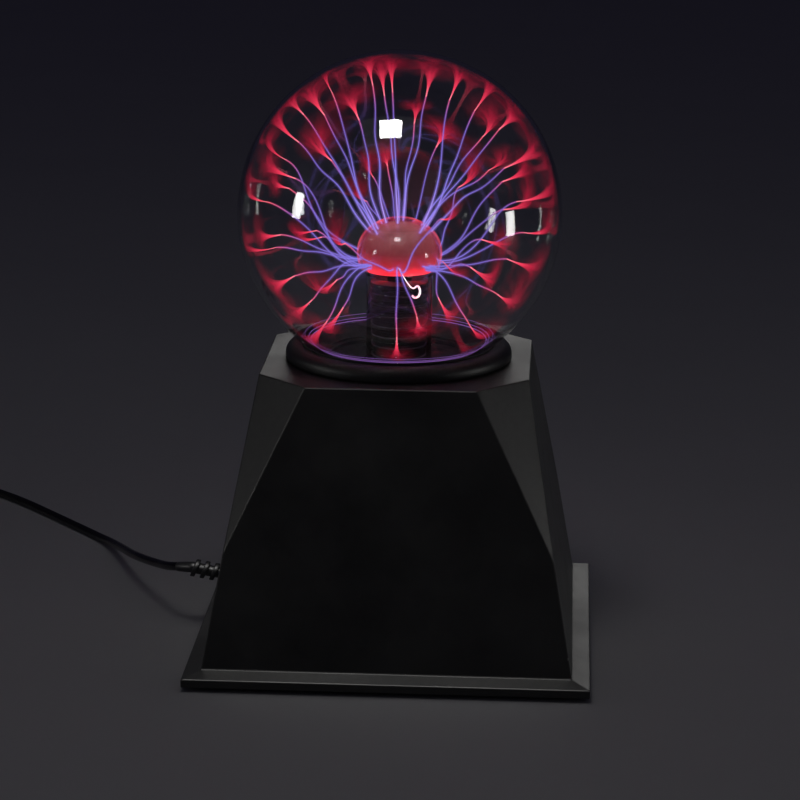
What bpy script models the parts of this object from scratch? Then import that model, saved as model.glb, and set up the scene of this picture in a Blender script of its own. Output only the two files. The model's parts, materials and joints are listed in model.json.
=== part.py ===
"""Plasma ball: a sealed glass globe on a four-sided tapered housing with a mains lead.

Units are metres. The origin is at the centre of the base, on the surface that the feet stand on.
+X is the object's right, +Y its rear and +Z up. The lead leaves the left wall.
"""

import math

import bmesh
import bpy
from mathutils import Matrix, Vector

# ---------------------------------------------------------------- driving dimensions
GAP = 0.0003  # clearance between pieces that touch on the real object

GLOBE_RADIUS = 0.100
GLOBE_WALL = 0.002
GLOBE_SEAT_RADIUS = 0.0419  # of the circle where the globe passes the top of the housing
NECK_CLEARANCE = 0.0025  # between the stem and the neck around it
NECK_LENGTH = 0.020  # below the globe's underside

STEM_RADIUS = 0.0205
STEM_WALL = 0.0015
BULB_OVERHANG = 0.005  # bulb's widest ring beyond the stem
BULB_RISE = 0.021  # from the bulb's widest ring to its top
BULB_FALL = 0.024  # the same below, were the lower half a whole one
BULB_DROP = 0.0243  # bulb's widest ring below the globe's centre
COATING_THICKNESS = 0.0005
COATING_SKIRT = 0.0105  # coating's edge below the bulb's widest ring

COLUMN_CLEARANCE = 0.0005
COLUMN_GROOVE = 0.0018
COLUMN_RING_PITCH = 0.00667
COLUMN_RING_WIDTH = 0.0034
COLUMN_BORE = 0.0035

HOUSING_HEIGHT = 0.1802
HOUSING_FOOT_HALF = 0.1116
HOUSING_FOOT_HEIGHT = 0.0111
HOUSING_WALL = 0.0024
TOP_MARGIN = 0.0116  # housing's top beyond the collar, at the middle of a side
FACET_CUT = 0.0308  # what a corner facet takes from each end of a top edge
FACET_TIP_HEIGHT = 0.0798
FLANGE_WIDTH = 0.011
FLANGE_FALL = 0.0029
EDGE_ROUNDING = 0.0007

FOOT_HEIGHT = 0.003
FOOT_RADIUS = 0.007
FOOT_X = 0.085
FOOT_Y = 0.1085
PLATE_THICKNESS = 0.0022
BOSS_RADIUS = 0.006
BOSS_INSET = 0.0076  # boss centre in from the housing's foot
BOSS_LENGTH = 0.0125

COLLAR_BORDER = 0.0111  # collar beyond its socket's rim
COLLAR_HEIGHT = 0.0090
COLLAR_ROUNDING = 0.006
GASKET_THICKNESS = 0.001
COLLAR_RIM_DROP = 0.001  # socket's rim below the collar's top
SEAT_THICKNESS = 0.0065
SEAT_INSET = 0.0024  # seat ring's edge in from the collar's
SEAT_SCREW_INSET = 0.0084  # seat screws in from the collar's edge
TOP_HOLE_CLEARANCE = 0.0015

SCREW_RADIUS = 0.0015
SCREW_HEAD_RADIUS = 0.003
SCREW_HEAD_HEIGHT = 0.0018

CONTROL_HEIGHT = 0.045
ROCKER_ALONG = -0.028
ROCKER_BEZEL = (0.015, 0.021)
ROCKER_BEZEL_HEIGHT = 0.002
ROCKER_BODY = (0.0124, 0.0184)
ROCKER_WELL = (0.0094, 0.0168)
ROCKER_WELL_DEPTH = 0.0075
ROCKER_DEPTH = 0.014
ROCKER_PIVOT_DEPTH = 0.002
ROCKER_PIN = 0.0009
ROCKER_HALF_SWING = math.radians(10)
ROCKER_KEY_TIP = 0.0068
ROCKER_KEY_RAISED = 0.0052
ROCKER_KEY_DIP = 0.0036
ROCKER_KEY_KEEL = 0.0044
ROCKER_KEY_ROOT = 0.003
BLADE_SPACING = 0.010
BLADE_HALF = (0.0024, 0.0004)
BLADE_LENGTH = 0.007
SLIDE_ALONG = 0.006
SLIDE_TRAVEL = 0.004
SLIDE_KNOB = (0.004, 0.0032)
SLIDE_KNOB_RISE = 0.0026
SLIDE_FOOT_LIP = 0.001
SLIDE_FOOT_DEPTH = 0.0012
SLIDE_BODY_WALL = 0.0018
SLIDE_BODY_DEPTH = 0.006
MICROPHONE_ALONG = 0.034
MICROPHONE_RADIUS = 0.0048
MICROPHONE_DEPTH = 0.0045
SOUND_HOLE_RADIUS = 0.0015

BOARD_SIZE = (0.110, 0.080)
BOARD_CENTRE_Y = 0.010
BOARD_THICKNESS = 0.0016
BOARD_LIFT = 0.008
PILLAR_RADIUS = 0.003
PILLAR_INSET = 0.006
PEG_RADIUS = 0.0014
PEG_RISE = 0.002
FLYBACK_PLACE = (0.006, 0.0)
FLYBACK_SIZE = (0.036, 0.010, 0.036)
FLYBACK_WINDING = 0.006
HV_LEAD_RADIUS = 0.0016
MAINS_PLACE = (-0.062, -0.061)
MAINS_SIZE = (0.044, 0.014, 0.036)
MAINS_LEG = 0.010
MAINS_YOKE = 0.008
MAINS_WINDING_HALF = (0.0115, 0.016)
HEAT_SINK_PLACE = (0.003, 0.0355)
HEAT_SINK_SIZE = (0.040, 0.013, 0.025)
HEAT_SINK_FINS = 6
HEAT_SINK_FIN = 0.0016
HEAT_SINK_WEB = 0.003
RESERVOIR_PLACE = (-0.020, -0.012)
RESERVOIR_SIZE = (0.008, 0.025)
FUSE_PLACE = (-0.044, -0.022)
FUSE_RADIUS = 0.0026
FUSE_LENGTH = 0.020
FUSE_CAP = 0.0055
SWITCH_LEAD_RADIUS = 0.0018

# Blocks on the board: (left, front, lift), (width, depth, height), finish, edge rounding.
BOARD_PARTS = {
    "power_transistor": ((0.025, 0.0306, 0.003), (0.010, 0.0046, 0.015), "component_black", 0.0),
    "film_capacitor": ((-0.034, 0.020, 0.0), (0.018, 0.007, 0.013), "component_blue", 0.0006),
    "driver_chip": ((-0.010, 0.028, 0.0), (0.010, 0.0065, 0.0035), "component_black", 0.0004),
    "terminal_block": ((-0.053, 0.018, 0.0), (0.010, 0.016, 0.011), "component_blue", 0.0005),
}

CORD_RADIUS = 0.0028
CORD_EXIT_HEIGHT = 0.0346
RELIEF_CORE_RADIUS = 0.0036
RELIEF_NECK_RADIUS = 0.0047
RELIEF_FLANGE_WIDTH = 0.0022
RELIEF_CLIP_WIDTH = 0.0025
RELIEF_DISC_RADIUS = 0.00575
RELIEF_DISC_WIDTH = 0.003
RELIEF_DISC_PITCH = 0.0062
RELIEF_DISC_SLANT = math.radians(13)
COIL_CENTRE = Vector((-0.371, 0.281, 0))
COIL_ENTRY_ANGLE = math.radians(49)
COIL_TURNS = 4.5
COIL_RADIUS = 0.031
COIL_LAYERS = 3
TIE_THICKNESS = 0.0008
TIE_WIDTH = 0.009
TIE_ANGLE = math.radians(180)
PLUG_START = 0.045  # plug's rear past the point where the cord leaves the coil
PLUG_LENGTH = 0.038
PLUG_HALF = (0.01765, 0.00685)
PIN_RADIUS = 0.002
PIN_LENGTH = 0.019
PIN_SPACING = 0.0186

# The lead's centreline between its strain relief and its coil, chosen point by point.
CORD_ROUTE = [
    (-0.1302, 0.0000, 0.0385),
    (-0.1405, 0.0060, 0.0370),
    (-0.1490, 0.0180, 0.0333),
    (-0.1568, 0.0335, 0.0294),
    (-0.1660, 0.0510, 0.0256),
    (-0.1752, 0.0700, 0.0216),
    (-0.1840, 0.0910, 0.0172),
    (-0.1924, 0.1135, 0.0128),
    (-0.2005, 0.1340, 0.0088),
    (-0.2088, 0.1530, 0.0054),
    (-0.2175, 0.1675, 0.0035),
    (-0.2271, 0.1800, 0.0030),
    (-0.2448, 0.2010, 0.0029),
    (-0.2630, 0.2222, 0.0029),
    (-0.2816, 0.2435, 0.0029),
    (-0.2979, 0.2603, 0.0029),
    (-0.3086, 0.2702, 0.0029),
    (-0.3330, 0.2926, 0.0029),
]
RELIEF_TAIL_LENGTH = 0.013

ROUND_STEPS = 36
SMALL_STEPS = 16

# ---------------------------------------------------------------- worked-out dimensions
UP = Vector((0, 0, 1))
CENTRE = (0, 0, 0)

GLOBE_HEIGHT = HOUSING_HEIGHT + math.sqrt(GLOBE_RADIUS**2 - GLOBE_SEAT_RADIUS**2)
NECK_RADIUS = STEM_RADIUS + NECK_CLEARANCE + GLOBE_WALL
NECK_BOTTOM = GLOBE_HEIGHT - GLOBE_RADIUS - NECK_LENGTH
BULB_RADIUS = STEM_RADIUS + BULB_OVERHANG
BULB_HEIGHT = GLOBE_HEIGHT - BULB_DROP
COLUMN_TOP = BULB_HEIGHT - 0.0175
COLUMN_RADIUS = STEM_RADIUS - STEM_WALL - COLUMN_CLEARANCE



def on_globe(radius, height):
    """How far off the axis a sphere about the globe's centre is, at a height."""
    return math.sqrt(radius**2 - (GLOBE_HEIGHT - height) ** 2)


GASKET_INSIDE = GLOBE_RADIUS + GAP
COLLAR_SOCKET = GASKET_INSIDE + GASKET_THICKNESS + GAP
COLLAR_TOP = HOUSING_HEIGHT + GAP + COLLAR_HEIGHT
COLLAR_RIM_RADIUS = on_globe(COLLAR_SOCKET, COLLAR_TOP - COLLAR_RIM_DROP)
COLLAR_RADIUS = COLLAR_RIM_RADIUS + COLLAR_BORDER
SEAT_RADIUS = COLLAR_RADIUS - SEAT_INSET
SEAT_SCREW_CIRCLE = COLLAR_RADIUS - SEAT_SCREW_INSET

HOUSING_TOP_HALF = COLLAR_RADIUS + TOP_MARGIN
TOP_EDGE_HALF = HOUSING_TOP_HALF - FACET_CUT
WALL_LEAN = math.atan(
    (HOUSING_FOOT_HALF - HOUSING_TOP_HALF) / (HOUSING_HEIGHT - HOUSING_FOOT_HEIGHT)
)
FLANGE_HALF = HOUSING_FOOT_HALF + FLANGE_WIDTH
PLATE_TOP = FOOT_HEIGHT + PLATE_THICKNESS
TOP_INSIDE = HOUSING_HEIGHT - HOUSING_WALL

BOARD_BOTTOM = PLATE_TOP + BOARD_LIFT
BOARD_TOP = BOARD_BOTTOM + BOARD_THICKNESS
ON_BOARD = BOARD_TOP + GAP
TERMINAL = Vector((-0.048, 0.026, ON_BOARD + 0.0065))  # middle of the terminal block


def housing_half(height):
    """Half the housing's width, flat to flat, at a height on its tapered walls."""
    return HOUSING_FOOT_HALF - (height - HOUSING_FOOT_HEIGHT) * math.tan(WALL_LEAN)


# ---------------------------------------------------------------- finishes
FINISHES = {
    # name: (colour, roughness, metallic)
    "housing_plastic": ((0.012, 0.013, 0.013), 0.42, 0.0),
    "collar_plastic": ((0.016, 0.016, 0.017), 0.5, 0.0),
    "black_rubber": ((0.01, 0.01, 0.01), 0.7, 0.0),
    "globe_glass": ((0.95, 0.97, 1.0), 0.02, 0.0),
    "electrode_coating": ((0.30, 0.20, 0.19), 0.5, 0.0),
    "column_plastic": ((0.01, 0.01, 0.011), 0.3, 0.0),
    "cord_vinyl": ((0.012, 0.012, 0.014), 0.28, 0.0),
    "switch_plastic": ((0.014, 0.014, 0.015), 0.3, 0.0),
    "steel": ((0.55, 0.55, 0.56), 0.3, 1.0),
    "brass": ((0.75, 0.58, 0.28), 0.3, 1.0),
    "aluminium": ((0.70, 0.71, 0.72), 0.4, 1.0),
    "circuit_laminate": ((0.05, 0.22, 0.09), 0.5, 0.0),
    "ferrite": ((0.05, 0.05, 0.052), 0.6, 0.0),
    "component_black": ((0.02, 0.02, 0.022), 0.45, 0.0),
    "component_blue": ((0.05, 0.10, 0.28), 0.4, 0.0),
    "nylon": ((0.80, 0.79, 0.75), 0.5, 0.0),
    "lead_silicone": ((0.45, 0.05, 0.04), 0.45, 0.0),
}


def finish(name):
    """The named Principled material, made the first time it is asked for."""
    known = bpy.data.materials.get(name)
    if known:
        return known
    colour, roughness, metallic = FINISHES[name]
    made = bpy.data.materials.new(name)
    made.use_nodes = True
    shader = made.node_tree.nodes["Principled BSDF"]
    shader.inputs["Base Color"].default_value = (*colour, 1)
    shader.inputs["Roughness"].default_value = roughness
    shader.inputs["Metallic"].default_value = metallic
    if name == "globe_glass":
        shader.inputs["Transmission Weight"].default_value = 1.0
    made.diffuse_color = (*colour, 1)
    made.roughness = roughness
    made.metallic = metallic
    return made


# ---------------------------------------------------------------- modelling helpers
def clear_scene():
    for leftover in list(bpy.data.objects):
        bpy.data.objects.remove(leftover, do_unlink=True)


def add_object(name, data, finish_name=None, parent=None, at=CENTRE):
    """An object in the scene holding this mesh or curve."""
    piece = bpy.data.objects.new(name, data)
    bpy.context.scene.collection.objects.link(piece)
    piece.parent = parent
    piece.location = at
    if finish_name:
        piece.data.materials.clear()
        piece.data.materials.append(finish(finish_name))
    return piece


def finished(name, shape, finish_name=None, parent=None, at=CENTRE):
    """Turns a bmesh into an object whose faces point outwards, smooth except at its edges."""
    bmesh.ops.recalc_face_normals(shape, faces=shape.faces)
    mesh = bpy.data.meshes.new(name)
    shape.to_mesh(mesh)
    shape.free()
    mesh.shade_smooth()
    mesh.set_sharp_from_angle(angle=math.radians(35))
    return add_object(name, mesh, finish_name, parent, at)


def turned_shape(outline, steps=ROUND_STEPS):
    """A closed (radius, height) outline, or one that starts and ends on the axis, turned about Z."""
    shape = bmesh.new()
    points = [shape.verts.new((radius, 0, height)) for radius, height in outline]
    edges = [shape.edges.new(pair) for pair in zip(points, points[1:])]
    if outline[0][0] > 0:
        edges.append(shape.edges.new((points[-1], points[0])))
    bmesh.ops.spin(
        shape,
        geom=points + edges,
        cent=CENTRE,
        axis=UP,
        dvec=CENTRE,
        angle=math.tau,
        steps=steps,
        use_merge=True,
    )
    bmesh.ops.remove_doubles(shape, verts=shape.verts, dist=1e-7)
    return shape


def turned(name, outline, finish_name=None, parent=None, at=CENTRE, steps=ROUND_STEPS):
    return finished(name, turned_shape(outline, steps), finish_name, parent, at)


def stacked_shape(outline, rings):
    """The outline as a solid, scaled in x and y and raised to each (scale x, scale y, height)."""
    shape = bmesh.new()
    wide, deep, height = rings[0]
    corners = [shape.verts.new((x * wide, y * deep, height)) for x, y in outline]
    top = shape.faces.new(corners)
    for number, (next_wide, next_deep, height) in enumerate(rings[1:]):
        grown = bmesh.ops.extrude_face_region(shape, geom=[top])["geom"]
        if number:
            bmesh.ops.delete(shape, geom=[top], context="FACES_ONLY")
        top = next(part for part in grown if isinstance(part, bmesh.types.BMFace))
        for corner in top.verts:
            corner.co.x *= next_wide / wide
            corner.co.y *= next_deep / deep
            corner.co.z = height
        wide, deep = next_wide, next_deep
    return shape


def rectangle(half_x, half_y, chamfer=0.0):
    """A rectangle's outline, with its corners cut off if a chamfer is given."""
    if not chamfer:
        return [(-half_x, -half_y), (half_x, -half_y), (half_x, half_y), (-half_x, half_y)]
    cut_x, cut_y = half_x - chamfer, half_y - chamfer
    return [
        (-cut_x, -half_y),
        (cut_x, -half_y),
        (half_x, -cut_y),
        (half_x, cut_y),
        (cut_x, half_y),
        (-cut_x, half_y),
        (-half_x, cut_y),
        (-half_x, -cut_y),
    ]


def extruded(name, outline, low, high, finish_name=None, parent=None, at=CENTRE):
    shape = stacked_shape(outline, [(1, 1, low), (1, 1, high)])
    return finished(name, shape, finish_name, parent, at)


def block(name, low, high, finish_name=None, parent=None, rounding=0.0):
    """A box between two corners, with its edges rounded if a rounding is given."""
    shape = bmesh.new()
    low, high = Vector(low), Vector(high)
    bmesh.ops.create_cube(shape, size=1)
    bmesh.ops.scale(shape, vec=high - low, verts=shape.verts)
    bmesh.ops.translate(shape, vec=(low + high) / 2, verts=shape.verts)
    if rounding:
        round_edges(shape, shape.edges[:], rounding, segments=1)
    return finished(name, shape, finish_name, parent)


def round_edges(shape, edges, size, segments=2):
    bmesh.ops.bevel(
        shape,
        geom=edges,
        offset=size,
        offset_type="OFFSET",
        segments=segments,
        profile=0.5,
        affect="EDGES",
        clamp_overlap=True,
        material=-1,
    )


def combine(piece, other, operation="DIFFERENCE"):
    """Cuts the other object from the piece, or joins it to the piece, and keeps it as a hidden guide."""
    other.hide_render = True
    other.display_type = "WIRE"
    modifier = piece.modifiers.new(other.name, "BOOLEAN")
    modifier.operation = operation
    modifier.solver = "EXACT"
    modifier.object = other
    return piece


def smooth_curve(points, spacing):
    """Points about a spacing apart along one smooth curve through the given points."""
    knots = [Vector(point) for point in points]
    knots = [2 * knots[0] - knots[1], *knots, 2 * knots[-1] - knots[-2]]
    fine = []
    for before, start, end, after in zip(knots, knots[1:], knots[2:], knots[3:]):
        for step in range(20):
            t = step / 20
            linear = (end - before) * t
            square = (2 * before - 5 * start + 4 * end - after) * t**2
            cube = (3 * start - before - 3 * end + after) * t**3
            fine.append(start + (linear + square + cube) / 2)
    fine.append(knots[-2])
    return even_spacing(fine, spacing)


def even_spacing(fine, spacing):
    """The line through the given points, read again at even steps of about the spacing."""
    lengths = [(end - start).length for start, end in zip(fine, fine[1:])]
    count = max(2, round(sum(lengths) / spacing))
    step = sum(lengths) / count
    kept = [fine[0]]
    travelled = 0.0
    for start, end, length in zip(fine, fine[1:], lengths):
        while len(kept) < count and travelled + length >= step * len(kept):
            kept.append(start.lerp(end, (step * len(kept) - travelled) / length))
        travelled += length
    kept.append(fine[-1])
    return kept


def tube(name, points, radius, finish_name=None, sides=3, taper=1.0, parent=None):
    """A round tube along the points, narrowed evenly to the taper's share of its radius."""
    line = bpy.data.curves.new(name, "CURVE")
    line.dimensions = "3D"
    line.bevel_depth = radius
    line.bevel_resolution = sides
    line.use_fill_caps = True
    spline = line.splines.new("POLY")
    spline.points.add(len(points) - 1)
    for index, (knot, point) in enumerate(zip(spline.points, points)):
        knot.co = (*point, 1)
        knot.radius = 1 + (taper - 1) * index / (len(points) - 1)
    return add_object(name, line, finish_name, parent)


def as_mesh(piece):
    """Replaces an object by one that holds its evaluated shape as a mesh."""
    bpy.context.view_layer.update()
    graph = bpy.context.evaluated_depsgraph_get()
    mesh = bpy.data.meshes.new_from_object(piece.evaluated_get(graph))
    name, parent = piece.name, piece.parent
    bpy.data.objects.remove(piece, do_unlink=True)
    shape = bmesh.new()
    shape.from_mesh(mesh)
    bmesh.ops.remove_doubles(shape, verts=shape.verts, dist=1e-7)
    return finished(name, shape, parent=parent)


def add_anchor(name, matrix):
    """An empty that places the pieces parented to it."""
    anchor = bpy.data.objects.new(name, None)
    bpy.context.scene.collection.objects.link(anchor)
    anchor.empty_display_size = 0.02
    anchor.matrix_world = matrix
    return anchor


def facing(outward, upward, at):
    """A placing whose local Z points outward and whose local Y points upward."""
    across = upward.cross(outward).normalized()
    turn = Matrix((across, outward.cross(across), outward)).transposed()
    return Matrix.Translation(at) @ turn.to_4x4()


def on_wall(azimuth, along, height):
    """A placing on the outside of the wall that faces the azimuth: Z outwards, Y up the wall."""
    level = Vector((math.cos(azimuth), math.sin(azimuth), 0))
    outward = level * math.cos(WALL_LEAN) + UP * math.sin(WALL_LEAN)
    upward = UP * math.cos(WALL_LEAN) - level * math.sin(WALL_LEAN)
    across = upward.cross(outward)
    return facing(outward, upward, level * housing_half(height) + across * along + UP * height)


def corners_of(half_x, half_y):
    """The four corners, front left first, then counter-clockwise, each with its name."""
    return {
        "front_left": (-half_x, -half_y),
        "front_right": (half_x, -half_y),
        "rear_right": (half_x, half_y),
        "rear_left": (-half_x, half_y),
    }


def arc(centre, radius, start, end, steps):
    """Points on an arc in the (radius, height) plane, from the start angle to the end angle."""
    middle_radius, middle_height = centre
    return [
        (
            middle_radius + radius * math.cos(start + (end - start) * step / steps),
            middle_height + radius * math.sin(start + (end - start) * step / steps),
        )
        for step in range(steps + 1)
    ]


def around_globe(radius, low_radius, high_radius, steps):
    """An arc about the globe's centre on its lower half, from one distance off the axis to another."""
    low, high = (math.asin(side / radius) for side in (low_radius, high_radius))
    turn = math.pi / 2
    return arc((0, GLOBE_HEIGHT), radius, low - turn, high - turn, steps)


# ---------------------------------------------------------------- screws
def screw(name, at, length, pointing_up=True):
    """A pan-head screw with a cross recess. The head's seat is at the given point."""
    side = -1 if pointing_up else 1
    outline = [
        (0, -side * length),
        (SCREW_RADIUS * 0.5, -side * length),
        (SCREW_RADIUS, -side * (length - SCREW_RADIUS)),
        (SCREW_RADIUS, 0),
        (SCREW_HEAD_RADIUS, 0),
        (SCREW_HEAD_RADIUS, side * SCREW_HEAD_HEIGHT * 0.5),
        (SCREW_HEAD_RADIUS * 0.7, side * SCREW_HEAD_HEIGHT),
        (0, side * SCREW_HEAD_HEIGHT),
    ]
    piece = turned(name, outline, "steel", at=at, steps=12)
    arm, width, depth = SCREW_HEAD_RADIUS * 0.55, 0.0003, SCREW_HEAD_HEIGHT * 0.6
    cross = [
        (-arm, -width), (-width, -width), (-width, -arm), (width, -arm),
        (width, -width), (arm, -width), (arm, width), (width, width),
        (width, arm), (-width, arm), (-width, width), (-arm, width),
    ]
    far = side * SCREW_HEAD_HEIGHT * 2
    near = side * (SCREW_HEAD_HEIGHT - depth)
    cutter = extruded(name + "_recess", cross, min(far, near), max(far, near), parent=piece)
    return combine(piece, cutter)


# ---------------------------------------------------------------- housing
def housing_form(name, inset, floor):
    """The housing's outer form, or the space inside it when an inset is given."""
    lean, slope = WALL_LEAN, math.atan2(FLANGE_FALL, FLANGE_WIDTH)
    top = HOUSING_HEIGHT - inset
    top_half = housing_half(top) - inset / math.cos(lean)
    rim_half = FLANGE_HALF - inset

    def shelf(half):
        """Height of the flange's sloped shelf, or of its underside, at a half width."""
        fall = (half - HOUSING_FOOT_HALF) * math.tan(slope)
        return HOUSING_FOOT_HEIGHT - fall - inset / math.cos(slope)

    # The wall's inner face meets the underside of the shelf where both give the same height.
    foot_half = HOUSING_FOOT_HALF - inset / math.cos(lean)
    for _ in range(20):
        foot_half = housing_half(shelf(foot_half)) - inset / math.cos(lean)

    rings = [
        (rim_half, rim_half, floor),
        (rim_half, rim_half, shelf(rim_half)),
        (foot_half, foot_half, shelf(foot_half)),
        (top_half, top_half, top),
    ]
    shape = stacked_shape(rectangle(1, 1), rings)
    for turn in range(4):
        spin = Matrix.Rotation(turn * math.pi / 2, 3, "Z")
        tip_half = housing_half(FACET_TIP_HEIGHT)
        first = spin @ Vector((TOP_EDGE_HALF, -HOUSING_TOP_HALF, HOUSING_HEIGHT))
        second = spin @ Vector((HOUSING_TOP_HALF, -TOP_EDGE_HALF, HOUSING_HEIGHT))
        tip = spin @ Vector((tip_half, -tip_half, FACET_TIP_HEIGHT))
        outward = (first - tip).cross(second - tip).normalized()
        if outward.z < 0:
            outward.negate()
        cut = bmesh.ops.bisect_plane(
            shape,
            geom=shape.verts[:] + shape.edges[:] + shape.faces[:],
            dist=1e-6,
            plane_co=tip - outward * inset,
            plane_no=outward,
            clear_outer=True,
        )["geom_cut"]
        edges = [part for part in cut if isinstance(part, bmesh.types.BMEdge)]
        bmesh.ops.contextual_create(shape, geom=edges)
    if not inset:
        round_edges(shape, shape.edges[:], EDGE_ROUNDING)
    return finished(name, shape, "housing_plastic")


def make_housing():
    shell = housing_form("housing_shell", 0, FOOT_HEIGHT)
    combine(shell, housing_form("housing_inside", HOUSING_WALL, FOOT_HEIGHT - 0.01))

    boss_place = HOUSING_FOOT_HALF - BOSS_INSET
    boss_bottom = PLATE_TOP + GAP
    for corner, (x, y) in corners_of(boss_place, boss_place).items():
        boss = turned(
            "boss_" + corner,
            [(0, 0), (BOSS_RADIUS, 0), (BOSS_RADIUS, BOSS_LENGTH), (0, BOSS_LENGTH)],
            at=(x, y, boss_bottom),
            steps=SMALL_STEPS,
        )
        combine(shell, boss, "UNION")
        pilot = cylinder_cutter("pilot_" + corner, SCREW_RADIUS + GAP, -0.004, BOSS_LENGTH - 0.002)
        pilot.location = (x, y, boss_bottom)
        combine(shell, pilot)

    opening = on_globe(GLOBE_RADIUS, HOUSING_HEIGHT) + TOP_HOLE_CLEARANCE
    hole = cylinder_cutter("globe_hole", opening, TOP_INSIDE - 0.01, HOUSING_HEIGHT + 0.01, 48)
    combine(shell, hole)
    for number, (x, y) in enumerate(seat_screw_places(), 1):
        hole = cylinder_cutter(
            f"seat_screw_hole_{number}", SCREW_RADIUS + GAP, TOP_INSIDE - 0.01, HOUSING_HEIGHT + 0.01
        )
        hole.location = (x, y, 0)
        combine(shell, hole)
    return shell


def cylinder_cutter(name, radius, low, high, steps=SMALL_STEPS, parent=None):
    outline = [(0, low), (radius, low), (radius, high), (0, high)]
    return turned(name, outline, parent=parent, steps=steps)


def make_base_plate():
    half = FLANGE_HALF - HOUSING_WALL - GAP
    plate = extruded("base_plate", rectangle(half, half), FOOT_HEIGHT, PLATE_TOP, "housing_plastic")
    screw_place = HOUSING_FOOT_HALF - BOSS_INSET
    for corner, (x, y) in corners_of(screw_place, screw_place).items():
        hole = cylinder_cutter("plate_hole_" + corner, SCREW_RADIUS + GAP, -0.01, 0.02)
        hole.location = (x, y, 0)
        combine(plate, hole)
        seat = FOOT_HEIGHT - GAP
        screw("base_screw_" + corner, (x, y, seat), BOSS_LENGTH - 0.001)
    for number in range(8):
        x = (number - 3.5) * 0.010
        slot = block(f"vent_slot_{number + 1}", (x - 0.0016, -0.098, -0.01), (x + 0.0016, -0.076, 0.02))
        combine(plate, slot)


def make_feet():
    top = FOOT_HEIGHT - GAP
    outline = [
        (0, 0),
        (FOOT_RADIUS - 0.0008, 0),
        (FOOT_RADIUS, 0.0008),
        (FOOT_RADIUS - 0.0003, top),
        (0, top),
    ]
    for corner, (x, y) in corners_of(FOOT_X, FOOT_Y).items():
        turned("foot_" + corner, outline, "black_rubber", at=(x, y, 0), steps=24)


# ---------------------------------------------------------------- collar, gasket and seat
def seat_screw_places():
    angles = [math.pi / 4 + turn * math.pi / 2 for turn in range(4)]
    reach = SEAT_SCREW_CIRCLE
    return [(reach * math.cos(angle), reach * math.sin(angle)) for angle in angles]


def make_collar():
    """The rounded ring that the globe sits in, with the gasket that lines it."""
    bottom, top = HOUSING_HEIGHT + GAP, COLLAR_TOP
    socket, liner = COLLAR_SOCKET, GASKET_INSIDE
    shoulder = (COLLAR_RADIUS - COLLAR_ROUNDING, top - COLLAR_ROUNDING)
    outline = [
        *around_globe(socket, on_globe(socket, bottom), COLLAR_RIM_RADIUS, 4),
        (COLLAR_RIM_RADIUS + 0.0014, top - 0.0002),
        *reversed(arc(shoulder, COLLAR_ROUNDING, 0, math.pi / 2, 5)),
        (COLLAR_RADIUS, bottom + 0.0009),
        (COLLAR_RADIUS - 0.0009, bottom),
    ]
    collar = turned("collar_ring", outline, "collar_plastic")
    low, high = on_globe(socket, bottom), COLLAR_RIM_RADIUS + 0.0008
    turned(
        "globe_gasket",
        around_globe(liner, low, high, 4) + around_globe(liner + GASKET_THICKNESS, high, low, 4),
        "black_rubber",
    )
    return collar


def make_seat(collar):
    """The ring under the housing's top that carries the globe, with the screws that clamp it."""
    top = TOP_INSIDE - GAP
    bottom = top - SEAT_THICKNESS
    bore = NECK_RADIUS + 0.001
    cup = GLOBE_RADIUS + GAP
    outline = [
        (bore, bottom),
        (SEAT_RADIUS, bottom),
        (SEAT_RADIUS, top),
        *around_globe(cup, on_globe(cup, top), bore, 3),
    ]
    seat = turned("seat_ring", outline, "component_black")
    depth = top - bottom
    grip = 0.0055
    for number, (x, y) in enumerate(seat_screw_places(), 1):
        for piece, low, high in (
            (seat, bottom - 0.01, top + 0.01),
            (collar, HOUSING_HEIGHT - 0.01, HOUSING_HEIGHT + GAP + grip + GAP),
        ):
            hole = cylinder_cutter(f"{piece.name}_hole_{number}", SCREW_RADIUS + GAP, low, high)
            hole.location = (x, y, 0)
            combine(piece, hole)
        length = depth + 3 * GAP + HOUSING_WALL + grip
        screw(f"seat_screw_{number}", (x, y, bottom - GAP), length)


# ---------------------------------------------------------------- glass
def make_globe():
    inner = GLOBE_RADIUS - GLOBE_WALL
    inner_neck = NECK_RADIUS - GLOBE_WALL
    outside = around_globe_up(GLOBE_RADIUS, NECK_RADIUS, 15)
    inside = around_globe_up(inner, inner_neck, 15)
    outline = [
        *reversed(inside),
        (inner_neck, NECK_BOTTOM),
        (NECK_RADIUS, NECK_BOTTOM),
        *outside,
    ]
    turned("glass_globe", outline, "globe_glass")


def around_globe_up(radius, start_radius, steps):
    """A sphere's outline from a distance off the axis near its bottom, up to its top."""
    start = math.asin(start_radius / radius) - math.pi / 2
    points = arc((0, GLOBE_HEIGHT), radius, start, math.pi / 2, steps)
    return [*points[:-1], (0, GLOBE_HEIGHT + radius)]


def bulb_outline(inset, skirt, steps=7):
    """The bulb's outline from its top to a distance below its widest ring."""
    wide, rise, fall = (size - inset for size in (BULB_RADIUS, BULB_RISE, BULB_FALL))
    upper = [
        (wide * math.sin(angle), BULB_HEIGHT + rise * math.cos(angle))
        for angle in (math.pi / 2 * step / steps for step in range(steps + 1))
    ]
    last = math.asin(min(1.0, skirt / fall))
    lower = [
        (wide * math.cos(angle), BULB_HEIGHT - fall * math.sin(angle))
        for angle in (last * step / 4 for step in range(1, 5))
    ]
    return upper + lower


def bulb_fall_to(radius, inset):
    """How far below its widest ring the bulb has narrowed to a radius."""
    wide, fall = BULB_RADIUS - inset, BULB_FALL - inset
    return fall * math.sqrt(1 - (radius / wide) ** 2)


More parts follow.
